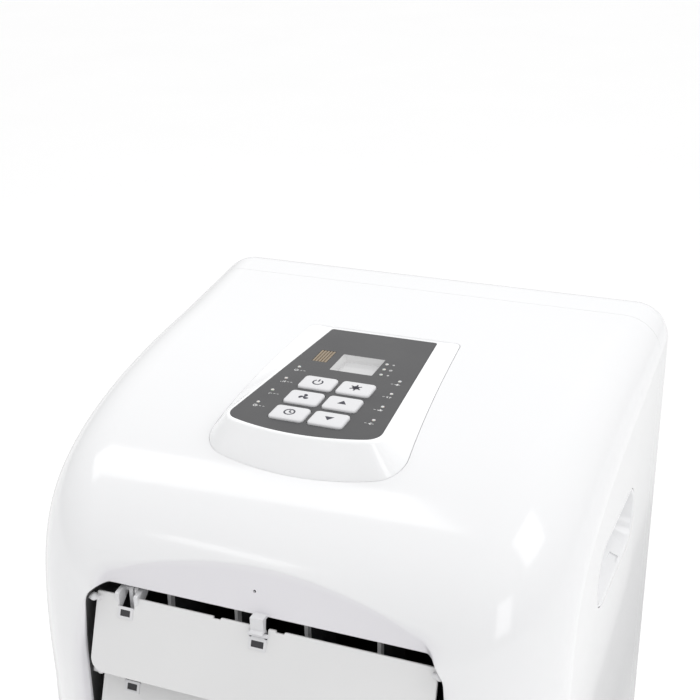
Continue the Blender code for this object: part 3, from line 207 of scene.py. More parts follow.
def surface(
    name, color, roughness, tint, grain, bump, patch=14, spread=0.05, grazing=0.0, recess=None, **shader
):
    """A moulded, painted or metal surface: its colour wanders between two shades in soft patches,
    and a fine grain moves its roughness and its relief. The recess colour is painted shade: it is
    mixed in where a piece's attribute of that name is 1. Grazing is the share of grey, also painted
    shade, where the surface is seen edge on."""
    material = bpy.data.materials.new(name)
    material.use_nodes = True
    tree = material.node_tree
    bsdf = tree.nodes["Principled BSDF"]
    for key, value in shader.items():
        bsdf.inputs[key.replace("_", " ").title()].default_value = value
    place = add_node(tree, "TexCoord", {}).outputs["Object"]
    patches = add_node(tree, "TexNoise", {"Scale": patch, "Detail": 3.0, "Vector": place})
    shades = add_node(tree, "ValToRGB", {"Fac": patches.outputs["Fac"]})
    for stop, (position, shade) in enumerate(((0.3, color), (0.7, tint))):
        shades.color_ramp.elements[stop].position = position
        shades.color_ramp.elements[stop].color = (*shade, 1.0)
    base = shades.outputs["Color"]
    # Painted shade in the funnel: the recess colour mixed in by the piece's attribute
    if recess:
        depth = add_node(tree, "Attribute", {}, attribute_name="recess")
        inputs = {"Factor": depth.outputs["Fac"], "A": base, "B": (*recess, 1.0)}
        base = add_node(tree, "Mix", inputs, data_type="RGBA").outputs["Result"]
    tree.links.new(base, bsdf.inputs["Base Color"])
    fine = add_node(tree, "TexNoise", {"Scale": grain, "Detail": 2.0, "Vector": place}).outputs["Fac"]
    low, high = max(roughness - spread, 0.02), roughness + spread
    rough = add_node(tree, "MapRange", {"To Min": low, "To Max": high, "Value": fine})
    tree.links.new(rough.outputs["Result"], bsdf.inputs["Roughness"])
    relief = add_node(tree, "Bump", {"Strength": bump, "Distance": GRAIN_DEPTH, "Height": fine})
    tree.links.new(relief.outputs["Normal"], bsdf.inputs["Normal"])
    # Painted shade: a grey diffuse mixed in towards the silhouettes, where the surface is seen edge on
    if grazing:
        facing = add_node(tree, "LayerWeight", {}).outputs["Facing"]
        share = add_node(tree, "MapRange", {"From Min": GRAZING_START, "To Max": grazing, "Value": facing})
        grey = add_node(tree, "BsdfDiffuse", {"Color": GRAZING_SHADE_GREY})
        inputs = {"Fac": share.outputs["Result"], 1: bsdf.outputs["BSDF"], 2: grey.outputs["BSDF"]}
        both = add_node(tree, "MixShader", inputs)
        tree.links.new(both.outputs["Shader"], tree.nodes["Material Output"].inputs["Surface"])
    return material


def striped(material, axis, pitch, depth, dark):
    """Adds close parallel ridges, such as fins or blades, to a surface made by surface()."""
    tree = material.node_tree
    bsdf = tree.nodes["Principled BSDF"]
    inputs = {"Scale": math.tau / 20 / pitch, "Vector": add_node(tree, "TexCoord", {}).outputs["Object"]}
    wave = add_node(tree, "TexWave", inputs, bands_direction=axis, wave_profile="SIN").outputs["Fac"]
    ramp = add_node(tree, "ValToRGB", {"Fac": wave})
    ramp.color_ramp.elements[0].color = (dark, dark, dark, 1.0)
    old = bsdf.inputs["Base Color"].links[0].from_socket
    inputs = {"Factor": 1.0, "A": old, "B": ramp.outputs["Color"]}
    shade = add_node(tree, "Mix", inputs, data_type="RGBA", blend_type="MULTIPLY")
    tree.links.new(shade.outputs["Result"], bsdf.inputs["Base Color"])
    old = bsdf.inputs["Normal"].links[0].from_socket
    relief = add_node(tree, "Bump", {"Strength": 0.6, "Distance": depth, "Height": wave, "Normal": old})
    tree.links.new(relief.outputs["Normal"], bsdf.inputs["Normal"])
    return material


MADE_OF = {  # material, first shade, roughness, second shade, grain, bump and, where given, patch
    "cabinet": ("gloss_white", (0.83, 0.832, 0.84), 0.13, (0.815, 0.818, 0.828), 420, 0.004, 5),
    # Painted light: the raised moulding is the cabinet's own white, made lighter to brighten its front and
    # sides
    "pod_painted_light": ("gloss_white_pod_painted_light", (0.915, 0.917, 0.925), 0.13, (0.90, 0.903, 0.912), 420, 0.004, 5),
    "louver": ("satin_pale_grey", (0.75, 0.75, 0.752), 0.38, (0.725, 0.725, 0.728), 1600, 0.10),
    "frame": ("satin_grey", (0.66, 0.66, 0.67), 0.45, (0.62, 0.62, 0.63), 1600, 0.10),
    "inner": ("dark_inner", (0.040, 0.040, 0.044), 0.60, (0.030, 0.030, 0.034), 1200, 0.12),
    "label": ("charcoal_film", (0.040, 0.040, 0.043), 0.36, (0.050, 0.050, 0.052), 2600, 0.10, 30),
    "key": ("white_key", (0.71, 0.71, 0.725), 0.30, (0.69, 0.69, 0.705), 1500, 0.06),
    "ink": ("blue_black_ink", (0.020, 0.020, 0.036), 0.45, (0.028, 0.028, 0.046), 2500, 0.05),
    "print": ("pale_ink", (0.72, 0.72, 0.72), 0.45, (0.64, 0.64, 0.64), 2500, 0.05),
    "window": ("pale_window", (0.58, 0.58, 0.58), 0.16, (0.54, 0.54, 0.55), 900, 0.01),
    "tub": ("display_tub", (0.74, 0.74, 0.74), 0.40, (0.71, 0.71, 0.71), 1500, 0.05),
    "lamp": ("lamp_lens", (0.66, 0.65, 0.63), 0.22, (0.60, 0.59, 0.57), 900, 0.02),
    "receiver": ("amber_lens", (0.20, 0.145, 0.085), 0.28, (0.26, 0.19, 0.11), 900, 0.03, 60),
    "board": ("circuit_board", (0.02, 0.13, 0.05), 0.40, (0.03, 0.17, 0.07), 1500, 0.08, 60),
    "grille": ("satin_white", (0.76, 0.762, 0.77), 0.30, (0.74, 0.742, 0.75), 1300, 0.06, 8),
    "filter": ("black_mesh", (0.035, 0.035, 0.038), 0.65, (0.05, 0.05, 0.052), 900, 0.2),
    "rubber": ("black_rubber", (0.025, 0.025, 0.026), 0.62, (0.036, 0.036, 0.036), 1400, 0.25),
    "tyre": ("grey_tyre", (0.055, 0.055, 0.060), 0.50, (0.075, 0.075, 0.078), 900, 0.18, 40),
    "steel": ("zinc_steel", (0.52, 0.52, 0.53), 0.34, (0.44, 0.44, 0.45), 600, 0.06, 60),
    "painted": ("black_paint", (0.016, 0.016, 0.017), 0.32, (0.024, 0.024, 0.025), 500, 0.10),
    "fins": ("aluminium_fins", (0.70, 0.71, 0.72), 0.40, (0.62, 0.63, 0.64), 700, 0.02),
    "copper": ("copper", (0.62, 0.27, 0.14), 0.30, (0.50, 0.20, 0.10), 700, 0.05, 80),
    "blower": ("blower_plastic", (0.030, 0.030, 0.033), 0.50, (0.042, 0.042, 0.045), 1300, 0.12),
}
GLOSS = {"spread": 0.02, "coat_weight": 0.35, "coat_roughness": 0.06}
METAL = {"metallic": 1.0}
EXTRAS = {
    "cabinet": GLOSS | {"grazing": GRAZING_SHADE, "recess": RECESS_PAINTED_SHADE},
    "pod_painted_light": GLOSS,
    "key": {"coat_weight": 0.1},
    "window": {"spread": 0.03, "coat_weight": 0.5},
    "lamp": {"subsurface_weight": 0.15, "subsurface_scale": 0.001},
    "receiver": {"coat_weight": 0.3},
    "steel": METAL,
    "fins": METAL,
    "copper": METAL,
}
LOOKS = {look: surface(*made_of, **EXTRAS.get(look, {})) for look, made_of in MADE_OF.items()}
striped(LOOKS["fins"], "X", 0.0022, 0.001, 0.25)


# ---- mesh helpers

def loft(bm, rings, cyclic=False):
    """A solid through rings of equal length. Cyclic rings close on the first one, like a tube wall."""
    loops = [[bm.verts.new(point) for point in ring] for ring in rings]
    pairs = list(zip(loops, loops[1:]))
    if cyclic:
        pairs.append((loops[-1], loops[0]))
    faces = []
    for a, b in pairs:
        for i in range(len(a)):
            j = (i + 1) % len(a)
            faces.append(bm.faces.new((a[i], a[j], b[j], b[i])))
    if not cyclic:
        faces.append(bm.faces.new(reversed(loops[0])))
        faces.append(bm.faces.new(loops[-1]))
    bmesh.ops.recalc_face_normals(bm, faces=faces)


def shape(draw, *args, **options):
    """A new mesh holding one drawing."""
    bm = bmesh.new()
    draw(bm, *args, **options)
    return bm


def box(bm, lo, hi):
    corners = ((lo[0], lo[1]), (hi[0], lo[1]), (hi[0], hi[1]), (lo[0], hi[1]))
    loft(bm, [[Vector((x, y, z)) for x, y in corners] for z in (lo[2], hi[2])])


def circle(centre, axis, radius, sides, turn=0.0):
    axis = Vector(axis)
    across = Vector((0, 0, 1)) if abs(axis.z) < 0.5 else Vector((1, 0, 0))
    third = axis.cross(across)
    points = []
    for i in range(sides):
        angle = turn + math.tau * i / sides
        points.append(Vector(centre) + radius * (math.cos(angle) * across + math.sin(angle) * third))
    return points


def turned(bm, base, axis, profile, sides=48, closed=False):
    """Profile is (radius, distance along the axis). A closed profile makes a ring with a bore."""
    loft(bm, [circle(Vector(base) + Vector(axis) * h, axis, r, sides) for r, h in profile], cyclic=closed)


def cylinder(bm, base, axis, radius, length, sides=24):
    turned(bm, base, axis, ((radius, 0.0), (radius, length)), sides)


def prism_x(bm, outline, x0, x1, place=at):
    loft(bm, [[place(x, back, down) for back, down in outline] for x in (x0, x1)])


def fillet(points, radii, steps):
    """Rounds the corners of a polygon of 2-D points with arcs."""
    rounded = []
    count = len(points)
    for i, radius in enumerate(radii):
        corner = Vector(points[i])
        if not radius:
            rounded.append(corner)
            continue
        before = (Vector(points[i - 1]) - corner).normalized()
        after = (Vector(points[(i + 1) % count]) - corner).normalized()
        half = before.angle(after) / 2
        centre = corner + (before + after).normalized() * radius / math.sin(half)
        start = corner + before * radius / math.tan(half) - centre
        end = corner + after * radius / math.tan(half) - centre
        for k in range(steps + 1):
            rounded.append(centre + start.slerp(end, k / steps).normalized() * radius)
    return rounded


def rounded_box(half_x, half_y, radius, steps=6):
    corners = ((half_x, half_y), (-half_x, half_y), (-half_x, -half_y), (half_x, -half_y))
    return fillet(corners, (radius,) * 4, steps)


def bezier(a, b, c, t):
    return a * (1 - t) ** 2 + b * 2 * t * (1 - t) + c * t * t


def rise(value, start, span):
    """0 up to the start and 1 after the span, with a straight rise between them."""
    return min(max((value - start) / span, 0.0), 1.0)


def eased(share):
    return share * share * (3 - 2 * share)


def loose(name, bm):
    """An object for a mesh."""
    mesh = bpy.data.meshes.new(name)
    bm.to_mesh(mesh)
    thing = bpy.data.objects.new(name, mesh)
    bpy.context.scene.collection.objects.link(thing)
    return thing


def carve(bm, cuts=(), adds=()):
    """The mesh with others joined on and then taken away."""
    work = loose("work", bm)
    helpers = []
    for operation, parts in (("UNION", adds), ("DIFFERENCE", cuts)):
        for part in parts:
            helper = loose("helper", part)
            helpers.append(helper)
            modifier = work.modifiers.new(operation, "BOOLEAN")
            modifier.operation = operation
            modifier.solver = "EXACT"
            modifier.object = helper
    graph = bpy.context.evaluated_depsgraph_get()
    mesh = bpy.data.meshes.new_from_object(work.evaluated_get(graph))
    result = bmesh.new()
    result.from_mesh(mesh)
    for thing in helpers + [work]:
        data = thing.data
        bpy.data.objects.remove(thing)
        bpy.data.meshes.remove(data)
    bpy.data.meshes.remove(mesh)
    return result


def without(bm, away):
    """A copy that leaves out the faces with a corner in some region."""
    rest = bm.copy()
    faces = [face for face in rest.faces if any(away(vert.co) for vert in face.verts)]
    bmesh.ops.delete(rest, geom=faces, context="FACES")
    return rest


def source(bm):
    """A smooth surface to take normals from: its search tree and its normals, weighted by area."""
    bm.faces.ensure_lookup_table()
    normals = {}
    for vert in bm.verts:
        total = Vector()
        for face in vert.link_faces:
            total += face.normal * face.calc_area()
        normals[vert] = total.normalized()
    return BVHTree.FromBMesh(bm), bm, normals


def smooth_normal(origin, point):
    """The normal of a smooth source at its place nearest to a point."""
    tree, bm, normals = origin
    hit, _, index, _ = tree.find_nearest(point)
    corners = bm.faces[index].verts
    weights = poly_3d_calc([vert.co for vert in corners], hit)
    return sum((normals[vert] * weight for vert, weight in zip(corners, weights)), Vector()).normalized()


def polish(mesh, sources):
    """Gives the faces that lie on a smooth source its normals, so that cuts leave no marks on it."""
    custom = [Vector()] * len(mesh.loops)
    for face in mesh.polygons:
        best = None
        for origin in sources:
            _, normal, _, far = origin[0].find_nearest(face.center)
            if normal and far < SAME_FACE and abs(normal.dot(face.normal)) > 0.9:
                best = origin
        if not best:
            continue
        for loop in face.loop_indices:
            normal = smooth_normal(best, mesh.vertices[mesh.loops[loop].vertex_index].co)
            custom[loop] = -normal if normal.dot(face.normal) < 0 else normal
    mesh.normals_split_custom_set(custom)


def piece(name, bm, look, body="cabinet", nodes=(), edge=0.0, smooth=None, angle=32, segments=2):
    """A finished piece: it rides on its body, stands for its CAD nodes and takes its material."""
    thing = loose(name, bm)
    mesh = thing.data
    mesh.materials.append(LOOKS[look])
    mesh.shade_smooth()
    mesh.set_sharp_from_angle(angle=math.radians(angle))
    if smooth:
        polish(mesh, smooth)
    if edge:
        bevel = thing.modifiers.new("edges", "BEVEL")
        bevel.width = edge
        bevel.segments = segments
        bevel.limit_method = "ANGLE"
        bevel.angle_limit = math.radians(35)
        bevel.harden_normals = True
    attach(thing, body)
    if nodes:
        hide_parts(*nodes)
    return thing


# ---- the cabinet's skin

def skin_profile(foot):
    """The skin in side view: (back, height, fillet radius to the sides) from foot to foot."""
    def top_line(back):
        return TOP - (DEPTH - back) * math.tan(TOP_SLOPE)

    face = Vector((0.0, TOP - FACE_DOWN))
    crown = Vector((CROWN_BACK, top_line(CROWN_BACK)))
    chord = (crown - face).length
    lean = Vector((math.sin(FACE_LEAN), math.cos(FACE_LEAN)))
    slope = Vector((math.cos(TOP_SLOPE), math.sin(TOP_SLOPE)))
    pull_up = face + lean * FACE_PULL * chord
    pull_on = crown - slope * CROWN_PULL * chord
    lowest = face + lean * (foot - face.y) / lean.y
    profile = [(lowest.x, lowest.y, EDGE_FRONT)]
    for i in range(HOOD_STEPS + 1):
        t = i / HOOD_STEPS
        s = 1 - t
        point = s**3 * face + 3 * s * s * t * pull_up + 3 * s * t * t * pull_on + t**3 * crown
        profile.append((point.x, point.y, EDGE_FRONT * s + EDGE_CROWN * t))
    hub = Vector((DEPTH - BACK_CORNER, top_line(DEPTH - BACK_CORNER) - BACK_CORNER / math.cos(TOP_SLOPE)))
    for i in range(13):
        angle = (math.pi / 2 + TOP_SLOPE) * i / 12 - TOP_SLOPE
        back = hub.x + BACK_CORNER * math.sin(angle)
        height = hub.y + BACK_CORNER * math.cos(angle)
        profile.append((back, height, EDGE_BACK))
    profile.append((DEPTH, foot, EDGE_BACK))
    return profile


SKIN = skin_profile(FOOT)


def skin_height(back):
    for (y0, z0, _), (y1, z1, _) in zip(SKIN[1:], SKIN[2:]):
        if y0 <= back <= y1 and y1 > y0:
            return z0 + (z1 - z0) * (back - y0) / (y1 - y0)
    return SKIN[1][1]


def half_width(height):
    return WIDTH / 2 - SIDE_TAPER * (TOP - height)


def body_solid(inset):
    """The whole cabinet as one solid, from the floor up, with its skin moved in by inset."""
    profile = skin_profile(0.0)
    rings = []
    for i, (back, height, radius) in enumerate(profile):
        before = profile[max(i - 1, 0)]
        after = profile[min(i + 1, len(profile) - 1)]
        along = Vector((after[0] - before[0], after[1] - before[1])).normalized()
        edge = radius - inset
        side = []
        for k in range(EDGE_STEPS + 1):
            angle = math.pi / 2 * k / EDGE_STEPS
            depth = inset + edge * (1 - math.sin(angle))
            y = back + along.y * depth
            z = height - along.x * depth
            side.append((half_width(z) - inset - edge * (1 - math.cos(angle)), y, z))
        left = [on_floor(-x, y, z) for x, y, z in side]
        rings.append(left + [on_floor(x, y, z) for x, y, z in reversed(side)])
    bm = bmesh.new()
    loops = [[bm.verts.new(point) for point in ring] for ring in rings]
    for a, b in zip(loops, loops[1:]):
        for i in range(len(a) - 1):
            bm.faces.new((a[i], a[i + 1], b[i + 1], b[i]))
    bm.faces.new([loop[0] for loop in loops])
    bm.faces.new([loop[-1] for loop in reversed(loops)])
    bm.faces.new(loops[0][::-1] + loops[-1])
    bmesh.ops.recalc_face_normals(bm, faces=bm.faces)
    return bm


SKIN_TREE = BVHTree.FromBMesh(body_solid(0.0))


def skin_back(x, height):
    """How far back the skin is, straight in from the front."""
    hit = SKIN_TREE.ray_cast(Vector((x, FRONT - 0.1, height)), Vector((0, 1, 0)))[0]
    return hit.y - FRONT


def slice_off(bm, point, normal):
    geometry = bm.verts[:] + bm.edges[:] + bm.faces[:]
    result = bmesh.ops.bisect_plane(
        bm, geom=geometry, dist=1e-7, plane_co=point, plane_no=normal, clear_outer=True
    )
    edges = [item for item in result["geom_cut"] if isinstance(item, bmesh.types.BMEdge)]
    bmesh.ops.edgeloop_fill(bm, edges=edges)


def sliced_body(inset, low=None, high=None, front=None, rear=None):
    bm = body_solid(inset)
    if low is not None:
        slice_off(bm, (0, 0, low), (0, 0, -1))
    if high is not None:
        slice_off(bm, (0, 0, high), (0, 0, 1))
    if front is not None:
        slice_off(bm, (0, FRONT + front, 0), (0, -1, 0))
    if rear is not None:
        slice_off(bm, (0, FRONT + rear, 0), (0, 1, 0))
    bmesh.ops.recalc_face_normals(bm, faces=bm.faces)
    return bm


# ---- air outlet

def arch_outline(half, crown, droop, floor, corner, floor_corner):
    """An arched outline as (x, down), from the middle of its top round to the start."""
    shoulder = half - corner
    for _ in range(12):
        start = math.atan(2 * droop * shoulder / half**2)
        shoulder = half - corner * (1 - math.sin(start))
    points = [(shoulder * i / 24, crown + droop * (shoulder * i / 24 / half) ** 2) for i in range(25)]
    drop = points[-1][1] + corner * math.cos(start)
    for i in range(1, 13):
        angle = start + (math.pi / 2 - start) * i / 12
        points.append((half - corner + corner * math.sin(angle), drop - corner * math.cos(angle)))
    for i in range(1, 8):
        points.append((half, drop + (floor - floor_corner - drop) * i / 8))
    for i in range(9):
        angle = math.pi / 2 * i / 8
        x = half - floor_corner * (1 - math.cos(angle))
        points.append((x, floor - floor_corner * (1 - math.sin(angle))))
    points.append((0.0, floor))
    return points + [(-x, down) for x, down in reversed(points[1:-1])]


def flared(outline):
    """The outline with its sides set wider below the louvers' pins."""
    return [(x * (1 + 0.021 * rise(down, 0.116, 0.034)), down) for x, down in outline]


def arch(grow):
    outline = arch_outline(
        ARCH_HALF + grow, ARCH_CROWN - grow, ARCH_DROOP, ARCH_FLOOR + grow, ARCH_CORNER + grow, 0.016 + grow
    )
    return flared(outline)


def mouth(grow):
    """The mouth's outline, as (x, back, down): its sides come forward of its top."""
    outline = arch_outline(
        MOUTH_HALF + grow, MOUTH_TOP - grow, 0.0, MOUTH_FLOOR + grow, 0.012 + grow, 0.010 + grow
    )
    for x, down in flared(outline):
        side = rise(abs(x), 0.102, 0.011)
        yield x, MOUTH_BACK + (MOUTH_SIDE - MOUTH_BACK) * side * side * (3 - 2 * side), down


def lip_radius(x):
    """The outlet's outer edge is crisp over the middle and softens down the sides."""
    side = rise(abs(x), 0.070, 0.050)
    return 0.0010 + 0.0050 * side * side * (3 - 2 * side)


def scoop_cutter():
    """What is taken out of the hood: a rolled lip on the skin, the funnel, a lip at the mouth, and
    a straight passage."""
    columns = []
    step = 0.001
    for (x, down), (gx, gdown), end in zip(arch(0.0), arch(step), mouth(0.0)):
        radius = lip_radius(x)
        wide_x = x + (gx - x) / step * radius
        wide_down = down + (gdown - down) / step * radius
        start = at(wide_x, skin_back(wide_x, TOP - wide_down), wide_down)
        edge = at(x, skin_back(x, TOP - down), down)
        end = at(*end)
        slope = (end - edge).normalized()
        inner = edge + slope * min(radius, 0.55 * (end - edge).length)
        control = edge.lerp(inner, 0.35)
        outside = start - (control - start).normalized() * 0.0009
        turn = end - slope * 0.0009
        column = [Vector((outside.x, OUTSIDE, outside.z)), outside]
        column += [bezier(start, control, inner, k / 6) for k in range(7)]
        column += [inner.lerp(turn, k / 6) for k in range(1, 6)]
        column += [bezier(turn, end, end + Vector((0, 0.0009, 0)), k / 4) for k in range(5)]
        column.append(Vector((end.x, FRONT + DUCT_BACK + 0.010, end.z)))
        columns.append(column)
    bm = bmesh.new()
    loft(bm, list(zip(*columns)))
    bmesh.ops.triangulate(bm, faces=bm.faces[:])
    return bm


def lip_source(bm, skin):
    """The cutter's surface to take normals from, turned towards the skin's normals at its lip."""
    tree, bm, normals = source(bm)
    for vert in normals:
        far = SKIN_TREE.find_nearest(vert.co)[3]
        share = min(far / (0.4 * lip_radius(vert.co.x)), 1.0)
        share = eased(share)
        if share < 1:
            normals[vert] = normals[vert].lerp(-smooth_normal(skin, vert.co), 1 - share).normalized()
    return tree, bm, normals


def scoop_block():
    """The moulding round the funnel, inside the hood."""
    ring = []
    for (x, down), (wide_x, wide_down), end in zip(arch(0.0), arch(SCOOP_WALL), mouth(SCOOP_WALL)):
        rim = at(wide_x, skin_back(x, TOP - down) + SCOOP_WALL, wide_down)
        end = at(*end) + Vector((0, 0.0015, 0))
        rear = Vector((end.x, FRONT + DUCT_BACK, end.z))
        ring.append((Vector((rim.x, OUTSIDE, rim.z)), rim, end, rear))
    return shape(loft, list(zip(*ring)))


def louver_pivots():
    for side in ("upper", "lower"):
        place = Vector(JOINTS[side + "_louver_tilt"]["pos_m"])
        yield place.y - FRONT, TOP - place.z


def pin_holes():
    bm = bmesh.new()
    for back, down in louver_pivots():
        for side in (-1, 1):
            cylinder(bm, at(side * 0.1140, back, down), (side, 0, 0), 0.0022, 0.0040, 24)
    return bm


def crank_relief():
    """Room over the upper louver's crank, behind the mouth's edge."""
    return shape(box, at(-0.0995, 0.0204, 0.1112), at(-0.0785, 0.0245, 0.1072))


def duct_lining():
    """Black foam on the walls of the air passage, behind the mouth's edge."""
    ring = []
    for (x, back, down), (in_x, _, in_down) in zip(mouth(-0.00008), mouth(-0.0007)):
        front, rear = back + 0.0016, DUCT_BACK - 0.0002
        corners = ((x, front, down), (x, rear, down), (in_x, rear, in_down), (in_x, front, in_down))
        ring.append([at(*corner) for corner in corners])
    lining = shape(loft, list(zip(*ring)), cyclic=True)
    piece("duct_lining", carve(lining, cuts=[pin_holes(), crank_relief()]), "rubber")


def front_housing():
    cutter = scoop_cutter()
    skin = sliced_body(0.0, low=BASE_TOP + SEAM_GAP * 2, rear=SEAM - SEAM_GAP)
    smooth = [source(body_solid(0.0))]
    smooth.append(lip_source(without(cutter, lambda point: point.y < FRONT - 0.020), smooth[0]))
    hollow = carve(body_solid(WALL), cuts=[scoop_block()])
    small = pin_holes()
    cylinder(small, at(*PINHOLE), (0, 1, 0), 0.0010, 0.030)
    openings = bmesh.new()
    for side in (-1, 1):
        loft(openings, [handle_ring(side, depth, grow=0.0003) for depth in (-0.01, 0.01)])
    shell = carve(skin, cuts=[hollow, cutter, pod_opening(), openings, small, crank_relief()])
    front = piece("front_shell", shell, "cabinet", nodes=("front_housing",), smooth=smooth)
    # Painted shade over the funnel: 0 at the skin, rising to 1 a little way down into it
    recess = front.data.attributes.new("recess", "FLOAT", "POINT")
    for vert, value in zip(front.data.vertices, recess.data):
        if smooth[1][0].find_nearest(vert.co)[3] < SAME_FACE:
            far = SKIN_TREE.find_nearest(vert.co)[3]
            value.value = min(far / (0.6 * lip_radius(vert.co.x)), 1.0)


# ---- control panel

def panel_outline(half_rear, half_front, rear, shoulder, nose, rear_corner, front_corner, steps=8):
    """A trapezoid with a bowed front edge, as (x, back) pairs."""
    right = [
        (half_rear + (half_front - half_rear) * k / 10, rear + (shoulder - rear) * k / 10) for k in range(9)
    ]
    right.append((half_front, shoulder))
    bow = []
    for k in range(7, -1, -1):
        share = (1 - 1.15 * front_corner / half_front) * k / 7
        bow.append((half_front * share, nose + (shoulder - nose) * share**2))
    left = [(-x, y) for x, y in reversed(bow[:-1])] + [(-x, y) for x, y in reversed(right)]
    side = [rear_corner] + [0.0] * 8 + [front_corner]
    return fillet(right + bow + left, side + [0.0] * 15 + side[::-1], steps)


def label_height(back):
    return TOP - LABEL_REAR_DOWN - LABEL_FALL * (LABEL_REAR - back)


def pod_rim(inset):
    return panel_outline(
        0.0405 - inset, 0.0522 - inset, 0.2214 - inset, 0.0806 + inset, 0.0713 + inset, 0.003, 0.012
    )


def pod_foot(inset):
    return panel_outline(
        0.0545 - inset, 0.0658 - inset, 0.2222 - inset, 0.0775 + inset, 0.0672 + inset, 0.005, 0.018
    )


def pod_opening():
    """The hole for the raised moulding, with the wider gap on the right."""
    rings = [[on_floor(x + 0.00016, y, z) for x, y in pod_foot(-0.00022)] for z in (TOP - 0.080, TOP + 0.010)]
    return shape(loft, rings)


def on_panel(x, back, w):
    """A place in the panel's own frame, where w is the height above the label's face."""
    return PANEL @ Vector((x, (back - PANEL_BACK) / math.cos(PANEL_TILT), w))


PANEL_ORIGIN = on_floor(0, PANEL_BACK, label_height(PANEL_BACK))
PANEL = Matrix.Translation(PANEL_ORIGIN) @ Matrix.Rotation(PANEL_TILT, 4, "X")
PANEL_UP = PANEL.col[2].xyz


def panel_prism(bm, outline, *heights):
    loft(bm, [[on_panel(x, back, w) for x, back in outline] for w in heights])


def panel_box(bm, x, back, half_x, half_back, *heights, radius=0.0):
    if radius:
        outline = [(x + u, back + v) for u, v in rounded_box(half_x, half_back, radius, 5)]
    else:
        outline = [(x + u * half_x, back + v * half_back) for u, v in ((1, 1), (-1, 1), (-1, -1), (1, -1))]
    panel_prism(bm, outline, *heights)


def key_places():
    names = ("power", "fan", "timer", "mode", "up", "down")
    for i, name in enumerate(names):
        yield name, (-KEY_X, KEY_X)[i // 3], KEY_BACK[i % 3]


def lamp_places():
    places = list(UNIT_LED)
    for x, back in zip(LED_X, LED_BACK):
        places += [(-x, back), (x, back)]
    return places


def pod_shell():
    """The raised moulding: its sides climb from the cabinet's skin and roll over into the top."""
    roll = 0.0011
    foot = [on_floor(x, y, skin_height(y)) for x, y in pod_foot(0.0)]
    rim = [on_floor(x, y, label_height(y)) for x, y in pod_rim(0.0)]
    top = [on_floor(x, y, label_height(y)) for x, y in pod_rim(roll)]
    skirt = [Vector((p.x, p.y, TOP - 0.055)) for p in foot]
    rings = [skirt, foot]
    turn = [f.lerp(r, 1 - min(0.45, 0.0022 / max((r - f).length, 1e-6))) for f, r in zip(foot, rim)]
    rings += [[f.lerp(r, k / 5) for f, r in zip(foot, turn)] for k in range(1, 6)]
    rings += [[bezier(a, b, c, k / 5) for a, b, c in zip(turn, rim, top)] for k in range(1, 6)]
    return shape(loft, rings)


def pod_inside():
    rim = [on_floor(x, y, label_height(y) - 0.0034) for x, y in pod_rim(0.0026)]
    foot = [on_floor(x, y, skin_height(y) - 0.0034) for x, y in pod_foot(0.0026)]
    skirt = [Vector((p.x, p.y, TOP - 0.060)) for p in foot]
    return shape(loft, [skirt, foot, rim])


def panel_openings():
    """The holes for the keys and the display, and those for the lamps."""
    keys = bmesh.new()
    for _, x, back in key_places():
        panel_box(keys, x, back, KEY_HALF[0] + 0.0004, KEY_HALF[1] + 0.0004, *THROUGH, radius=0.0031)
    panel_box(keys, *DISPLAY, *THROUGH, radius=0.0008)
    lamps = bmesh.new()
    for x, back in lamp_places():
        cylinder(lamps, on_panel(x, back, THROUGH[0]), PANEL_UP, 0.0013, 0.013, 20)
    return [keys, lamps]


def control_pod():
    shell = pod_shell()
    smooth = [source(without(shell, lambda point: point.z < TOP - 0.050))]
    bed = shape(panel_prism, panel_outline(*LABEL_BED), -0.0012, 0.004)
    shell = carve(shell, cuts=[pod_inside(), bed, *panel_openings()])
    # Painted light: the moulding takes a lighter copy of the cabinet's white
    piece("pod_shell", shell, "pod_painted_light", nodes=("control_pod",), smooth=smooth)


def label():
    window = shape(panel_box, *RECEIVER, -0.003, 0.003)
    sheet = shape(panel_prism, panel_outline(*LABEL_EDGE), -0.0009, 0.0)
    piece("label_film", carve(sheet, cuts=[*panel_openings(), window]), "label", nodes=("panel_label",))


def lamps():
    for number, (x, back) in enumerate(lamp_places(), 1):
        dome = shape(turned, on_panel(x, back, -0.0010), PANEL_UP, LAMP_DOME, 16)
        piece(f"lamp_{number:02d}", dome, "lamp", nodes=("lamp_guide",) if number == 1 else ())


def receiver():
    x, back, half_x, half_back = RECEIVER
    lens = shape(panel_box, x, back, half_x - 0.0001, half_back - 0.0001, -0.0008, -0.0005)
    for k in range(5):
        panel_box(lens, x + (k - 2) * 0.00212, back, 0.00074, half_back - 0.0002, -0.0006, -0.00015, -0.00005)
    piece("receiver_lens", lens, "receiver", nodes=("ir_receiver",))


def display():
    x, back, half_x, half_back = DISPLAY
    rings = []
    for inset, w in TUB_PROFILE:
        outline = rounded_box(half_x - inset - 0.0001, half_back - inset - 0.0001, 0.0007, 4)
        rings.append([on_panel(x + u, back + v, w) for u, v in outline])
    piece("display_tub", shape(loft, rings, cyclic=True), "tub")
    pane = shape(panel_box, x, back, half_x - 0.0019, half_back - 0.0019, -0.0050, -0.0044, radius=0.0005)
    piece("display_pane", pane, "window", nodes=("display_window",))


def keys():
    for name, x, back in key_places():
        rings = []
        stem = [(u * 0.3, v * 0.3) for u, v in rounded_box(*KEY_HALF, KEY_CORNER)]
        for w in (-0.0094, KEY_PROFILE[0][1]):
            rings.append([on_panel(x + u, back + v, w) for u, v in stem])
        for inset, w in KEY_PROFILE:
            outline = rounded_box(KEY_HALF[0] - inset, KEY_HALF[1] - inset, KEY_CORNER - inset * 0.6)
            rings.append([on_panel(x + u, back + v, w) for u, v in outline])
        piece(f"key_{name}", shape(loft, rings), "key", f"button_{name}", (f"button_{name}",), angle=40)


# ---- printed symbols

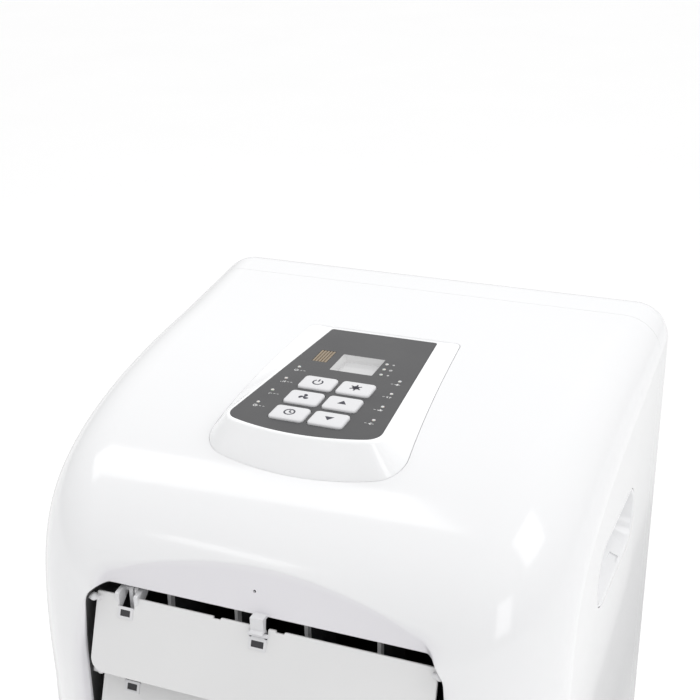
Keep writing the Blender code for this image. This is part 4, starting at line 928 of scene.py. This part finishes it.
def ribbon(bm, points, width, closed, place, low, high):
    """A flat printed line along 2-D points."""
    rings = []
    count = len(points)
    for i, point in enumerate(points):
        before = points[i - 1] if closed or i else point
        after = points[(i + 1) % count] if closed or i < count - 1 else point
        along = Vector((after[0] - before[0], after[1] - before[1])).normalized()
        side = Vector((-along.y, along.x)) * width / 2
        a, b = Vector(point) + side, Vector(point) - side
        rings.append([place(*a, low), place(*a, high), place(*b, high), place(*b, low)])
    loft(bm, rings, cyclic=closed)


def arc(centre, radius, start, end, steps=20):
    points = []
    for k in range(steps + 1):
        angle = math.radians(start + (end - start) * k / steps)
        points.append((centre[0] + radius * math.cos(angle), centre[1] + radius * math.sin(angle)))
    return points


def petals():
    """Three fan blades."""
    shapes = []
    for k in range(3):
        turn = Matrix.Rotation(math.tau * k / 3, 2)
        blade = arc((0.0, 0.46), 0.44, -100, 130, 14) + [(-0.10, 0.30)]
        shapes.append([tuple(turn @ Vector(p)) for p in blade])
    return shapes


def symbol(name):
    """(lines, fills) of a symbol about one unit high: lines are (points, closed), fills are outlines."""
    ring = (arc((0, 0), 0.8, 0, 351, 39), True)
    if name == "power":
        return [(arc((0, -0.05), 0.78, 125, 415), False), ([(0, 0.15), (0, 0.95)], False)], []
    if name == "fan":
        return [], petals()
    if name == "timer":
        return [ring, ([(0, 0.5), (0, 0), (0.38, -0.2)], False)], []
    if name == "mode":
        lines = []
        for k in range(3):
            x, y = math.cos(math.pi * k / 3 + math.pi / 6), math.sin(math.pi * k / 3 + math.pi / 6)
            lines.append(([(-x, -y), (x, y)], False))
        return lines + [(arc((0, 0), 0.45, 0, 345, 23), True)], []
    if name == "up":
        return [], [[(-0.9, -0.55), (0.9, -0.55), (0, 0.75)]]
    if name == "down":
        return [], [[(-0.9, 0.55), (0, -0.75), (0.9, 0.55)]]
    if name == "drop":
        return [], [arc((0, -0.2), 0.55, 150, 390, 16) + [(0, 1.0)]]
    if name == "moon":
        return [], [arc((0, 0), 0.8, 50, 310, 20) + arc((0.45, 0), 0.66, 248, 112, 16)]
    if name == "degree":
        return [(arc((0, 0.2), 0.5, 0, 340, 17), True)], []
    bars = {"three": (-0.9, 0.0, 0.9), "one": (0.0,), "two": (-0.5, 0.5)}[name]
    heights = {"three": (0.35, 0.65, 0.95), "one": (0.5,), "two": (0.8, 0.8)}[name]
    return [([(x, -0.8), (x, -0.8 + 1.7 * h)], False) for x, h in zip(bars, heights)], []


def draw_symbol(bm, name, x, back, size, width, w):
    def place(u, v, height):
        return on_panel(x + u * size, back + v * size, height)

    lines, fills = symbol(name)
    for points, closed in lines:
        ribbon(bm, points, width / size, closed, place, w - INK_RISE, w + INK_RISE)
    for outline in fills:
        loft(bm, [[place(u, v, height) for u, v in outline] for height in (w - INK_RISE, w + INK_RISE)])


def prints():
    for name, x, back in key_places():
        bm = bmesh.new()
        wide = name in ("up", "down")
        draw_symbol(bm, name, x, back, 0.0034 if wide else 0.0040, 0.00105, 0.00162)
        piece(f"symbol_{name}", bm, "ink", f"button_{name}")
    captions = []
    left = ("power", "three", "one", "timer")
    right = ("drop", "two", "fan", "moon")
    for k in range(4):
        captions.append((left[k], -LED_X[k], LED_BACK[k]))
        captions.append((right[k], LED_X[k], LED_BACK[k]))
    bm = bmesh.new()
    for name, x, back in captions:
        draw_symbol(bm, name, x, back - CAPTION_DROP, 0.0015, 0.00045, 0.0)
        for k in (-1, 0, 1):
            dash_x = x + 0.0011 + 0.0023 * (k + 1) - 0.0046 * (x > 0)
            panel_box(bm, dash_x, back - CAPTION_DROP, 0.0007, 0.0002, -INK_RISE, INK_RISE)
    for (x, back), name in zip(UNIT_LED, ("degree", "timer", "degree")):
        draw_symbol(bm, name, x + 0.0046, back, 0.0011, 0.0004, 0.0)
    piece("label_symbols", bm, "print")


# ---- louvers

def blade_point(pivot, x, s, n):
    back, down = pivot
    sin_t = math.sin(LOUVER_TILT)
    cos_t = math.cos(LOUVER_TILT)
    return at(x, back - s * sin_t + n * cos_t, down + s * cos_t + n * sin_t)


def blade_ring(pivot, outline, n):
    return [blade_point(pivot, x, s, n) for x, s in outline]


def rectangle(x0, x1, s0, s1):
    return [(x0, s0), (x1, s0), (x1, s1), (x0, s1)]


def blade(side, pivot):
    body = side + "_louver"
    outline = [(-LOUVER_HALF, LOUVER_TOP)]
    for left, right, depth in NOTCHES:
        outline += [(left, LOUVER_TOP), (left, depth), (right, depth), (right, LOUVER_TOP)]
    outline += [(LOUVER_HALF, LOUVER_TOP), (LOUVER_HALF, LOUVER_REACH), (-LOUVER_HALF, LOUVER_REACH)]
    points = fillet(outline, [0.0012] + [0.0] * (len(outline) - 4) + [0.0012, 0.009, 0.009], 10)
    plate = shape(loft, [blade_ring(pivot, points, n) for n in LOUVER_SKIN])
    piece(side + "_blade", plate, "louver", body, (body,), edge=0.0006, segments=3)


def blade_windows(side, pivot):
    """The dark squares under the two brackets, each in a thin raised frame."""
    frames = bmesh.new()
    glass = bmesh.new()
    for x0, x1 in BLADE_WINDOWS:
        outer = rectangle(x0 - 0.0018, x1 + 0.0018, 0.0024, 0.0098)
        inner = rectangle(x0, x1, 0.0042, 0.0082)
        steps = ((outer, 0.0013), (outer, 0.0003), (inner, 0.0003), (inner, 0.0013))
        loft(frames, [blade_ring(pivot, ring, n) for ring, n in steps], cyclic=True)
        loft(glass, [blade_ring(pivot, inner, n) for n in (0.0006, 0.0010)])
    piece(side + "_blade_frames", frames, "key", side + "_louver", edge=0.0002)
    piece(side + "_blade_windows", glass, "inner", side + "_louver")


def blade_brackets(side, pivot):
    """The two ears that hold the crank pin, and the pins that the blade turns on."""
    body = side + "_louver"
    back, down = pivot
    crank = (back + CRANK[0], down - CRANK[1])
    outline = (
        (back + 0.0005, down - 0.0055),
        (crank[0] - 0.0005, crank[1] - 0.0030),
        (crank[0] + 0.0026, crank[1] - 0.0015),
        (crank[0] + 0.0026, crank[1] + 0.0018),
        (back + 0.0010, down + 0.0080),
    )
    ear = fillet(outline, (0.0015, 0.0015, 0.0012, 0.0012, 0.0), 5)
    for number, (x0, x1) in enumerate(((-0.0972, -0.0942), (-0.0841, -0.0811)), 1):
        piece(f"{side}_ear_{number}", shape(prism_x, ear, x0, x1), "key", body, edge=0.0005)
    pins = bmesh.new()
    profile = [(0.0016, 0.0), (0.0016, 0.0018)]
    profile += [(0.0027 * math.sin(k * 0.35), 0.0045 - 0.0027 * math.cos(k * 0.35)) for k in range(2, 8)]
    profile += [(0.0020, 0.0064), (0.0020, 0.0090), (0.0016, 0.0094)]
    for way in (-1, 1):
        turned(pins, at(way * (LOUVER_HALF - 0.0030), back, down), (way, 0, 0), profile, 24)
    cylinder(pins, at(-0.0062, back, down + 0.0002), (1, 0, 0), 0.0013, 0.0124)
    cylinder(pins, at(-0.0962, *crank), (1, 0, 0), 0.0016, 0.0142)
    piece(side + "_pins", pins, "key", body, edge=0.0002)


def louvers():
    for side, pivot in zip(("upper", "lower"), louver_pivots()):
        blade(side, pivot)
        blade_windows(side, pivot)
        blade_brackets(side, pivot)


def outlet_details():
    for number, x in enumerate(VANE_X, 1):
        edge = shape(box, at(x - 0.0012, 0.0322, 0.1470), at(x + 0.0012, 0.0372, 0.1100))
        piece(f"vane_{number}_edge", edge, "frame", f"vane_{number}", edge=0.0004)
        clip = shape(box, at(x + 0.0013, 0.0330, 0.1128), at(x + 0.0040, 0.0352, 0.1102))
        piece(f"vane_{number}_clip", clip, "frame", f"vane_{number}", edge=0.0003)
    for number, (x0, x1) in enumerate(STRIPS, 1):
        strip = shape(box, at(x0, 0.0212, 0.1104), at(x1, 0.0220, 0.1082))
        piece(f"outlet_strip_{number}", strip, "louver", edge=0.0002)


# ---- handles, back and base

def handle_ring(side, depth, grow=0.0, lift=0.0, squeeze=0.0):
    half_y = HANDLE_HALF[0] + grow - squeeze
    half_z = HANDLE_HALF[1] + grow - squeeze
    ring = []
    for y, z in rounded_box(half_y, half_z, half_z - 0.0015, 12):
        height = TOP - HANDLE_DOWN + z + lift
        ring.append(on_floor(side * (half_width(height) - depth), HANDLE_BACK + y, height))
    return ring


def handles():
    for name, side in (("left_handle", -1), ("right_handle", 1)):
        rings = [
            handle_ring(side, HANDLE_DEPTH - 0.0022, lift=0.003, squeeze=0.0075),
            handle_ring(side, 0.0012, squeeze=0.0022),
            handle_ring(side, 0.0003, squeeze=0.0016),
            handle_ring(side, 0.0000, squeeze=0.0006),
            handle_ring(side, 0.0004),
            handle_ring(side, HANDLE_DEPTH, lift=0.003, squeeze=0.0055),
        ]
        slot = bmesh.new()
        floor = [(side * x, TOP - 0.1342 + (0.1690 - x) * 0.404) for x in (0.1660, 0.1716)]
        outline = [(x, z - 0.0006) for x, z in floor] + [(x, z + 0.004) for x, z in reversed(floor)]
        loft(slot, [[on_floor(x, back, z) for x, z in outline] for back in (0.1925, 0.2015)])
        cup = carve(shape(loft, rings), cuts=[slot])
        piece(name + "_cup", cup, "cabinet", nodes=(name,))


def rear_cover():
    skin = sliced_body(0.0, low=BASE_TOP + SEAM_GAP * 2, front=SEAM + SEAM_GAP)
    holes = bmesh.new()
    for x0, x1, z0, z1 in (UPPER_GRILLE, LOWER_GRILLE):
        box(holes, on_floor(x0, 0.340, z0), on_floor(x1, 0.355, z1))
    for (x, height), radius in ((PORT, PORT_RADIUS + 0.0008), (UPPER_DRAIN, 0.0090), (GLAND, 0.0080)):
        cylinder(holes, on_floor(x, 0.335, height), (0, 1, 0), radius, 0.020, 64)
    smooth = [source(body_solid(0.0))]
    cover = carve(skin, cuts=[body_solid(WALL), holes])
    piece("rear_shell", cover, "cabinet", nodes=("rear_cover",), smooth=smooth)


def base_pan():
    base = sliced_body(0.0, low=FOOT, high=BASE_TOP)
    upper = sliced_body(WALL, low=BASE_FLOOR[1], high=BASE_TOP + 0.02)
    lower = sliced_body(WALL, high=BASE_FLOOR[0])
    hole = shape(cylinder, on_floor(LOWER_DRAIN[0], 0.335, LOWER_DRAIN[1]), (0, 1, 0), 0.0090, 0.020, 40)
    pan = carve(base, cuts=[upper, lower, hole])
    piece("base_shell", pan, "cabinet", nodes=("base_pan",), smooth=[source(body_solid(0.0))])


def grille_panel(name, bounds, columns, rows):
    """A louvred door: a rounded frame with slanted slots between its upright ribs, and a finger tab."""
    x0, x1, z0, z1 = bounds
    middle, half_x = (x0 + x1) / 2, (x1 - x0) / 2 - 0.0006
    centre, half_z = (z0 + z1) / 2, (z1 - z0) / 2 - 0.0006
    rings = []
    for inset, back in ((0.0, DEPTH - 0.0040), (0.0, DEPTH + 0.0004), (0.0009, DEPTH + 0.0012)):
        outline = rounded_box(half_x - inset, half_z - inset, 0.0040 - inset, 5)
        rings.append([on_floor(middle + u, back, centre + v) for u, v in outline])
    plate = shape(loft, rings)
    slots = bmesh.new()
    pitch_x = (2 * half_x - 0.020 + 0.0032) / columns
    pitch_z = (2 * half_z - 0.022 + 0.0034) / rows
    for column in range(columns):
        left = middle - half_x + 0.010 + column * pitch_x
        for row in range(rows):
            low = centre - half_z + 0.011 + row * pitch_z
            high = low + pitch_z - 0.0034
            outline = (
                (DEPTH - 0.0080, low + 0.0042),
                (DEPTH + 0.0050, low - 0.0042),
                (DEPTH + 0.0050, high - 0.0042),
                (DEPTH - 0.0080, high + 0.0042),
            )
            prism_x(slots, outline, left, left + pitch_x - 0.0032, on_floor)
    grip = bmesh.new()
    cylinder(grip, on_floor(middle - 0.014, DEPTH + 0.0060, z1 - 0.0058), (1, 0, 0), 0.0062, 0.028)
    panel = carve(plate, cuts=[slots, grip])
    piece(name + "_panel", panel, "grille", name, (name,))


def grilles():
    grille_panel("upper_grille", UPPER_GRILLE, 3, 24)
    grille_panel("lower_grille", LOWER_GRILLE, 2, 20)


def screws():
    """Cross-head screws that hold the rear cover on, each in a shallow collar. The arms of the
    cross are two cuts, because a cutter that overlaps itself leaves nothing of the head."""
    long, thin = SCREW_CROSS
    for number, (x, height) in enumerate(SCREW_PLACES, 1):
        head = shape(turned, on_floor(x, DEPTH + 0.0001, height), (0, 1, 0), SCREW_HEAD, 28)
        arms = []
        for half_x, half_z in ((long, thin), (thin, long)):
            lo = on_floor(x - half_x, DEPTH + 0.0009 + half_x * 0.01, height - half_z)
            arms.append(shape(box, lo, on_floor(x + half_x, DEPTH + 0.0040, height + half_z)))
        piece(f"screw_{number}", carve(head, cuts=arms), "steel", angle=30)
        collar = shape(turned, on_floor(x, DEPTH, height), (0, 1, 0), SCREW_COLLAR, 32, closed=True)
        piece(f"screw_collar_{number}", collar, "cabinet", angle=30)


def caster_hubs():
    """Pale hub discs in the wheels, and a riveted axle end on each side of the fork."""
    for place in ("front_left", "front_right", "rear_left", "rear_right"):
        lo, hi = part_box("caster_wheel_" + place)
        hub = (lo + hi) / 2
        for number, way in enumerate((-1, 1), 1):
            start = Vector((hub.x + way * 0.0086, hub.y, hub.z))
            disc = shape(turned, start, (way, 0, 0), HUB_DISC, 36, closed=True)
            piece(f"caster_hub_{place}_{number}", disc, "grille", "caster_wheel_" + place)
            start = Vector((hub.x + way * 0.0115, hub.y, hub.z))
            rivet = shape(turned, start, (way, 0, 0), RIVET, 24)
            piece(f"caster_rivet_{place}_{number}", rivet, "steel", "caster_fork_" + place)


# ---- carried parts

VANES = ("vane_1", "vane_2", "vane_3", "vane_4", "vane_tie_bar")
CARRIED = {  # any wheel that isn't here is a tyre, and anything else has the cabinet's look
    "inner": ("outlet_frame", "evaporator_scroll", "condenser_scroll", *VANES),
    "key": ("hinge_arm", "louver_link", "drive_rod", "motor_arm"),
    "steel": ("swing_motor", "evaporator_motor", "condenser_motor"),
    "board": ("control_board",),
    "grille": ("upper_grille", "lower_grille"),
    "filter": ("upper_filter",),
    "rubber": ("upper_drain_cap", "lower_drain_cap", "cord_gland", "compressor_mount"),
    "frame": ("mid_deck",),
    "fins": ("evaporator_coil", "condenser_coil"),
    "blower": ("evaporator_wheel", "condenser_wheel"),
    "painted": ("compressor",),
    "copper": ("discharge_line", "suction_line"),
    "louver": ("water_float",),
}


def carried():
    looks = {name: look for look, names in CARRIED.items() for name in names}
    for name, thing in frame["nodes"].items():
        look = looks.get(name, "tyre" if "wheel" in name else "cabinet")
        thing.data.materials.clear()
        thing.data.materials.append(LOOKS[look])
        weld = thing.modifiers.new("weld", "WELD")
        weld.merge_threshold = 0.00002
        edges = thing.modifiers.new("edges", "BEVEL")
        edges.width = 0.0004
        edges.segments = 2
        edges.limit_method = "ANGLE"
        edges.angle_limit = math.radians(40)


# ---- stage

CAMERA = Vector((0.3021, FRONT - 0.5527, TOP + 0.3196))
YAW, PITCH, ROLL = 0.4009, 0.3878, 0.018
LENS = 67.2
FLOOR_HALF = 12.0
HOOD_CENTRE = Vector((0.0, FRONT + 0.05, TOP - 0.05))
SKY_LEAN = (0.10, 0.30, 0.949)
SKY_SPAN = (-0.15, 0.75)
SKY_LEVEL = (0.55, 1.11)
SOFTBOXES = (  # name, azimuth, elevation, size in metres, radiance
    ("left_softbox", -79, 58, (0.62, 1.30), 1.75),
    ("right_softbox", 85, 48, (0.75, 1.05), 1.75),
    ("front_right_softbox", 47, 14, (0.50, 0.75), 1.75),
    ("front_left_softbox", -30, 31, (0.30, 0.12), 2.2),
)


def camera():
    look = Vector((-math.sin(YAW) * math.cos(PITCH), math.cos(YAW) * math.cos(PITCH), -math.sin(PITCH)))
    right = Vector((math.cos(YAW), math.sin(YAW), 0))
    down = look.cross(right)
    right, down = (
        right * math.cos(ROLL) + down * math.sin(ROLL),
        down * math.cos(ROLL) - right * math.sin(ROLL),
    )
    turn = Matrix((right, -down, -look)).transposed()
    data = bpy.data.cameras.new("camera")
    data.lens = LENS
    data.clip_start = 0.01
    thing = bpy.data.objects.new("camera", data)
    thing.matrix_world = Matrix.Translation(CAMERA) @ turn.to_4x4()
    bpy.context.scene.collection.objects.link(thing)
    bpy.context.scene.camera = thing


def softbox(name, azimuth, elevation, size, radiance):
    """A lamp panel two metres from the hood, seen from it at an azimuth from the front to the right."""
    azimuth, elevation = math.radians(azimuth), math.radians(elevation)
    flat = math.cos(elevation)
    away = Vector((math.sin(azimuth) * flat, -math.cos(azimuth) * flat, math.sin(elevation)))
    data = bpy.data.lights.new(name, "AREA")
    data.shape = "RECTANGLE"
    data.size, data.size_y = size
    data.energy = radiance * math.pi * size[0] * size[1]
    thing = bpy.data.objects.new(name, data)
    thing.location = HOOD_CENTRE + away * 2.0
    thing.rotation_euler = (-away).to_track_quat("-Z", "Y").to_euler()
    bpy.context.scene.collection.objects.link(thing)


def stage():
    corners = ((1, 1), (-1, 1), (-1, -1), (1, -1))
    rings = [[Vector((x * FLOOR_HALF, y * FLOOR_HALF, z)) for x, y in corners] for z in (-0.02, 0.0)]
    floor = loose("floor", shape(loft, rings))
    floor.data.materials.append(
        surface("pale_floor", (0.98, 0.98, 0.98), 0.6, (0.97, 0.97, 0.97), 60, 0.02, 2)
    )
    world = bpy.data.worlds.new("studio")
    world.use_nodes = True
    tree = world.node_tree
    sky = add_node(tree, "TexCoord", {}).outputs["Generated"]
    lean = add_node(tree, "VectorMath", {0: sky, 1: SKY_LEAN}, operation="DOT_PRODUCT")
    inputs = dict(zip(("From Min", "From Max", "To Min", "To Max"), SKY_SPAN + SKY_LEVEL))
    inputs["Value"] = lean.outputs["Value"]
    level = add_node(tree, "MapRange", inputs, interpolation_type="SMOOTHSTEP")
    background = tree.nodes["Background"]
    background.inputs["Color"].default_value = (1.0, 1.0, 1.0, 1.0)
    tree.links.new(level.outputs["Result"], background.inputs["Strength"])
    bpy.context.scene.world = world
    for name, azimuth, elevation, size, radiance in SOFTBOXES:
        softbox(name, azimuth, elevation, size, radiance)
    bpy.context.scene.view_settings.view_transform = "Standard"


carried()
front_housing()
duct_lining()
rear_cover()
base_pan()
control_pod()
label()
lamps()
receiver()
display()
keys()
prints()
louvers()
outlet_details()
handles()
grilles()
screws()
caster_hubs()
camera()
stage()
